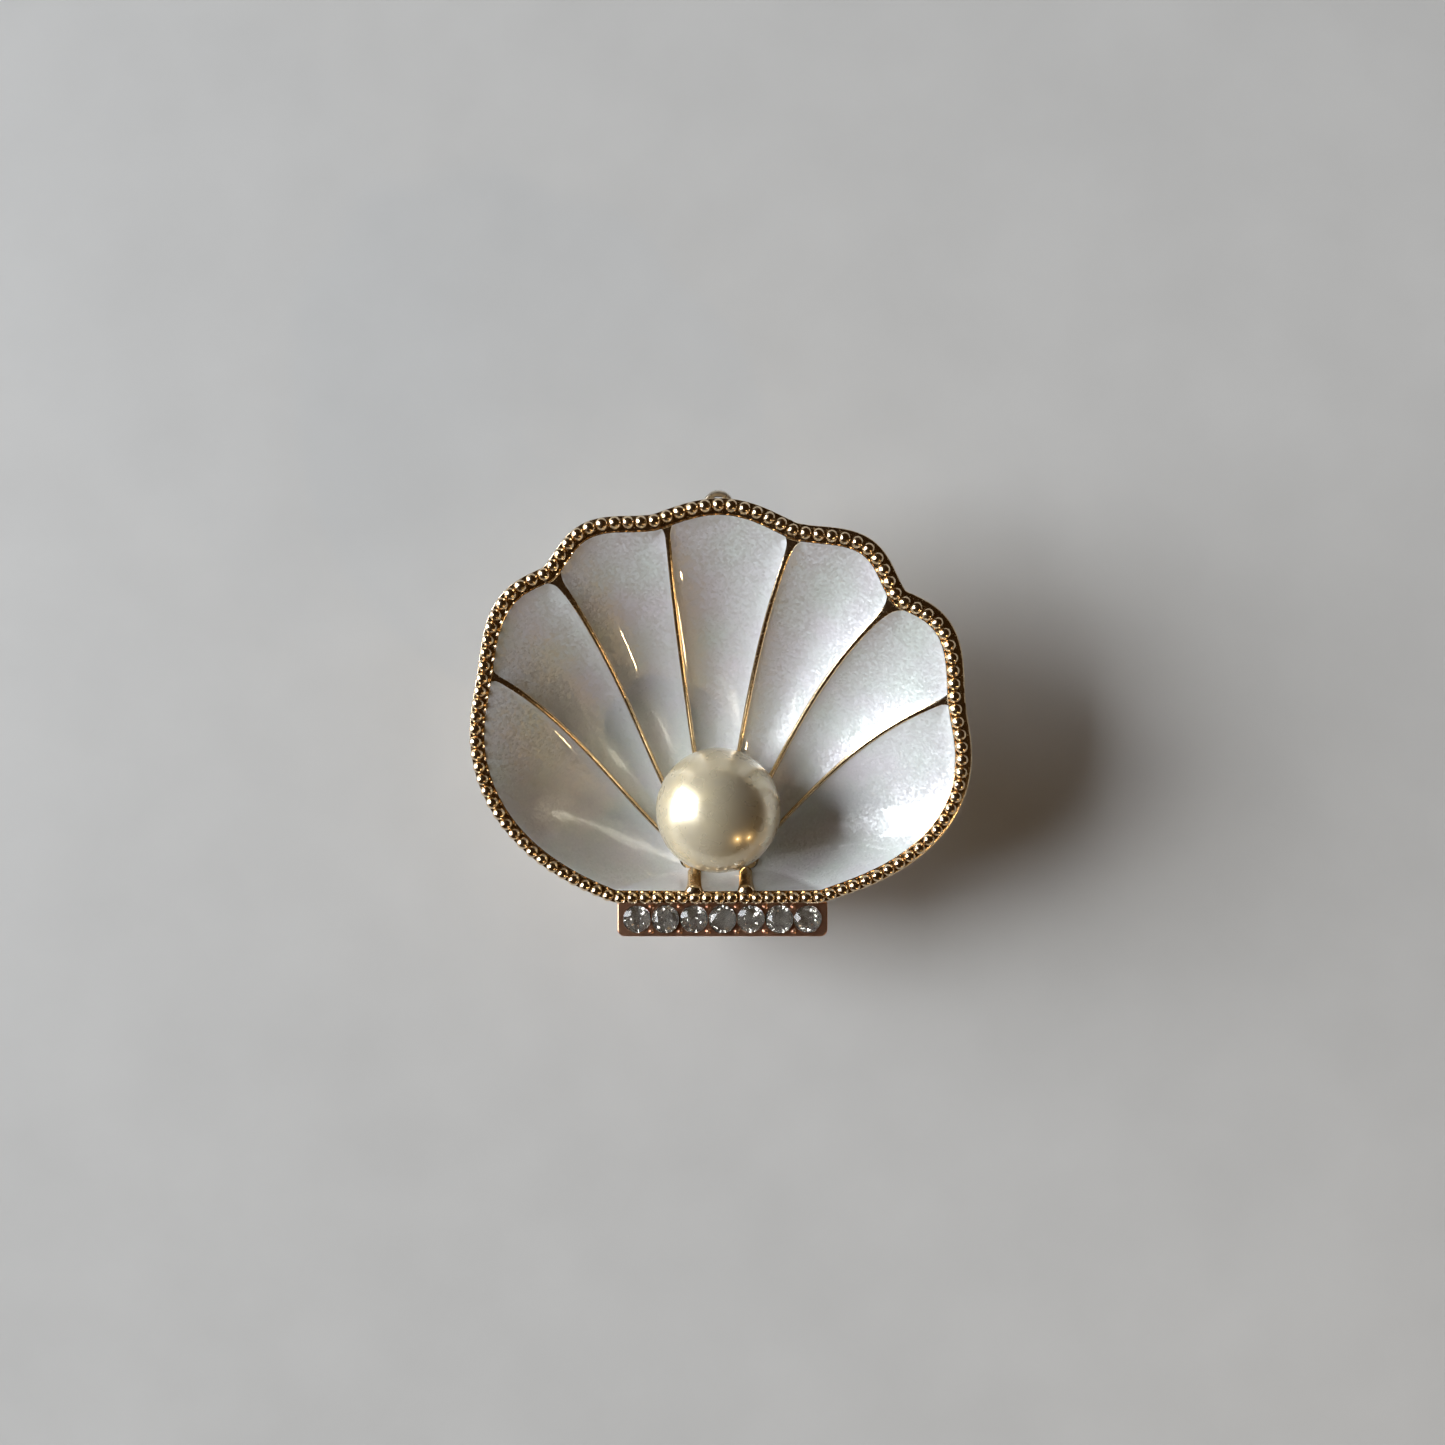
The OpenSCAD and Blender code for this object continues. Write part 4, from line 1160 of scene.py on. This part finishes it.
CAMERA_AT = (0.0004, 0.0, 0.1527)
LENS_MM, SENSOR_MM = 36.0, 36.0
FLOOR_SIDE = 6.0
WINDOW_AT = (-2.2, 0.45, 1.07)
WINDOW_TALL, WINDOW_WIDE = 1.85, 2.9
WINDOW_POWER = 190.0
LAMPS = [((0.62, -0.55, 0.2), 0.03), ((0.36, -0.53, 0.34), 0.022)]
LAMP_POWER = 0.3
CLIP_START, CLIP_END = 0.005, 20
DAYLIGHT, LAMPLIGHT = "#F4F9FF", "#FFD9A0"
HORIZON, CEILING, CEILING_FROM = "#38260F", "#281B0C", 0.8


class HAIRCLIP_OT_stage(bpy.types.Operator):
    """Set the floor, the window light, the room and the camera"""

    bl_idname = "hairclip.stage"
    bl_label = "Stage"

    def execute(self, context):
        half = FLOOR_SIDE / 2
        mesh = bpy.data.meshes.new("floor")
        corners = [(-half, -half, 0), (half, -half, 0), (half, half, 0), (-half, half, 0)]
        mesh.from_pydata(corners, [], [(0, 1, 2, 3)])
        mesh.materials.append(finish(honed_floor))
        floor = bpy.data.objects.new("floor", mesh)
        context.scene.collection.objects.link(floor)
        self.area_light("window", WINDOW_AT, (WINDOW_TALL, WINDOW_WIDE), WINDOW_POWER,
                        linear(DAYLIGHT), (1, 0, 0))
        for i, (at, side) in enumerate(LAMPS):
            self.area_light(f"lamp_{i + 1}", at, (side, side), LAMP_POWER, linear(LAMPLIGHT),
                            -Vector(at))
        self.room()
        self.camera()
        context.scene.view_settings.view_transform = "Standard"
        return {"FINISHED"}

    def area_light(self, name, at, size, power, colour, facing):
        data = bpy.data.lights.new(name, "AREA")
        data.shape, data.size, data.size_y = "RECTANGLE", *size
        data.energy, data.color = power, colour
        lamp = bpy.data.objects.new(name, data)
        lamp.location = at
        lamp.rotation_euler = Vector(facing).to_track_quat("-Z", "Y").to_euler()
        bpy.context.scene.collection.objects.link(lamp)

    def room(self):
        """A dim warm room: darker above than round the horizon."""
        world = bpy.data.worlds.new("room")
        bpy.context.scene.world = world
        world.use_nodes = True
        tree = world.node_tree
        tree.nodes.clear()
        way = add_node(tree, "ShaderNodeTexCoord").outputs["Generated"]
        height = add_node(tree, "ShaderNodeSeparateXYZ", {"Vector": way}).outputs["Z"]
        up = add_node(tree, "ShaderNodeMapRange",
                      {"Value": height, "From Min": 0.0, "From Max": CEILING_FROM})
        colour = add_node(tree, "ShaderNodeMix",
                          {MIX_FACTOR: up.outputs["Result"], MIX_A: (*linear(HORIZON), 1),
                           MIX_B: (*linear(CEILING), 1)}, data_type="RGBA").outputs[MIX_RESULT]
        light = add_node(tree, "ShaderNodeBackground", {"Color": colour, "Strength": 1.0})
        add_node(tree, "ShaderNodeOutputWorld", {"Surface": light.outputs["Background"]})

    def camera(self):
        """Straight above the clip, looking down with +Y up in the picture."""
        data = bpy.data.cameras.new("camera")
        data.lens, data.sensor_width = LENS_MM, SENSOR_MM
        data.clip_start, data.clip_end = CLIP_START, CLIP_END
        camera = bpy.data.objects.new("camera", data)
        camera.location = CAMERA_AT
        bpy.context.scene.collection.objects.link(camera)
        bpy.context.scene.camera = camera


# ---- Panel and running ----------------------------------------------------------------------


class HAIRCLIP_PT_panel(bpy.types.Panel):
    """Lists the steps that build the clip"""

    bl_label = "Hair Clip"
    bl_idname = "HAIRCLIP_PT_panel"
    bl_space_type = "VIEW_3D"
    bl_region_type = "UI"
    bl_category = "Hair Clip"

    def draw(self, context):
        for group in (sizes(), colours()):
            column = self.layout.column()
            for name in group.__annotations__:
                column.prop(group, name)
        for step in STEPS:
            self.layout.operator(step.bl_idname)


STEPS = [HAIRCLIP_OT_shell, HAIRCLIP_OT_beads, HAIRCLIP_OT_enamel, HAIRCLIP_OT_pearl,
         HAIRCLIP_OT_bar, HAIRCLIP_OT_stones, HAIRCLIP_OT_clip, HAIRCLIP_OT_spring,
         HAIRCLIP_OT_stage]
CLASSES = [ClipSizes, ClipColours, *STEPS, HAIRCLIP_PT_panel]


def register():
    for cls in CLASSES:
        bpy.utils.register_class(cls)
    bpy.types.Scene.hair_clip_sizes = bpy.props.PointerProperty(type=ClipSizes)
    bpy.types.Scene.hair_clip_colours = bpy.props.PointerProperty(type=ClipColours)


def unregister():
    del bpy.types.Scene.hair_clip_colours
    del bpy.types.Scene.hair_clip_sizes
    for cls in reversed(CLASSES):
        bpy.utils.unregister_class(cls)


def main():
    register()
    for step in STEPS:
        group, name = step.bl_idname.split(".")
        getattr(getattr(bpy.ops, group), name)()


if __name__ == "__main__":
    main()
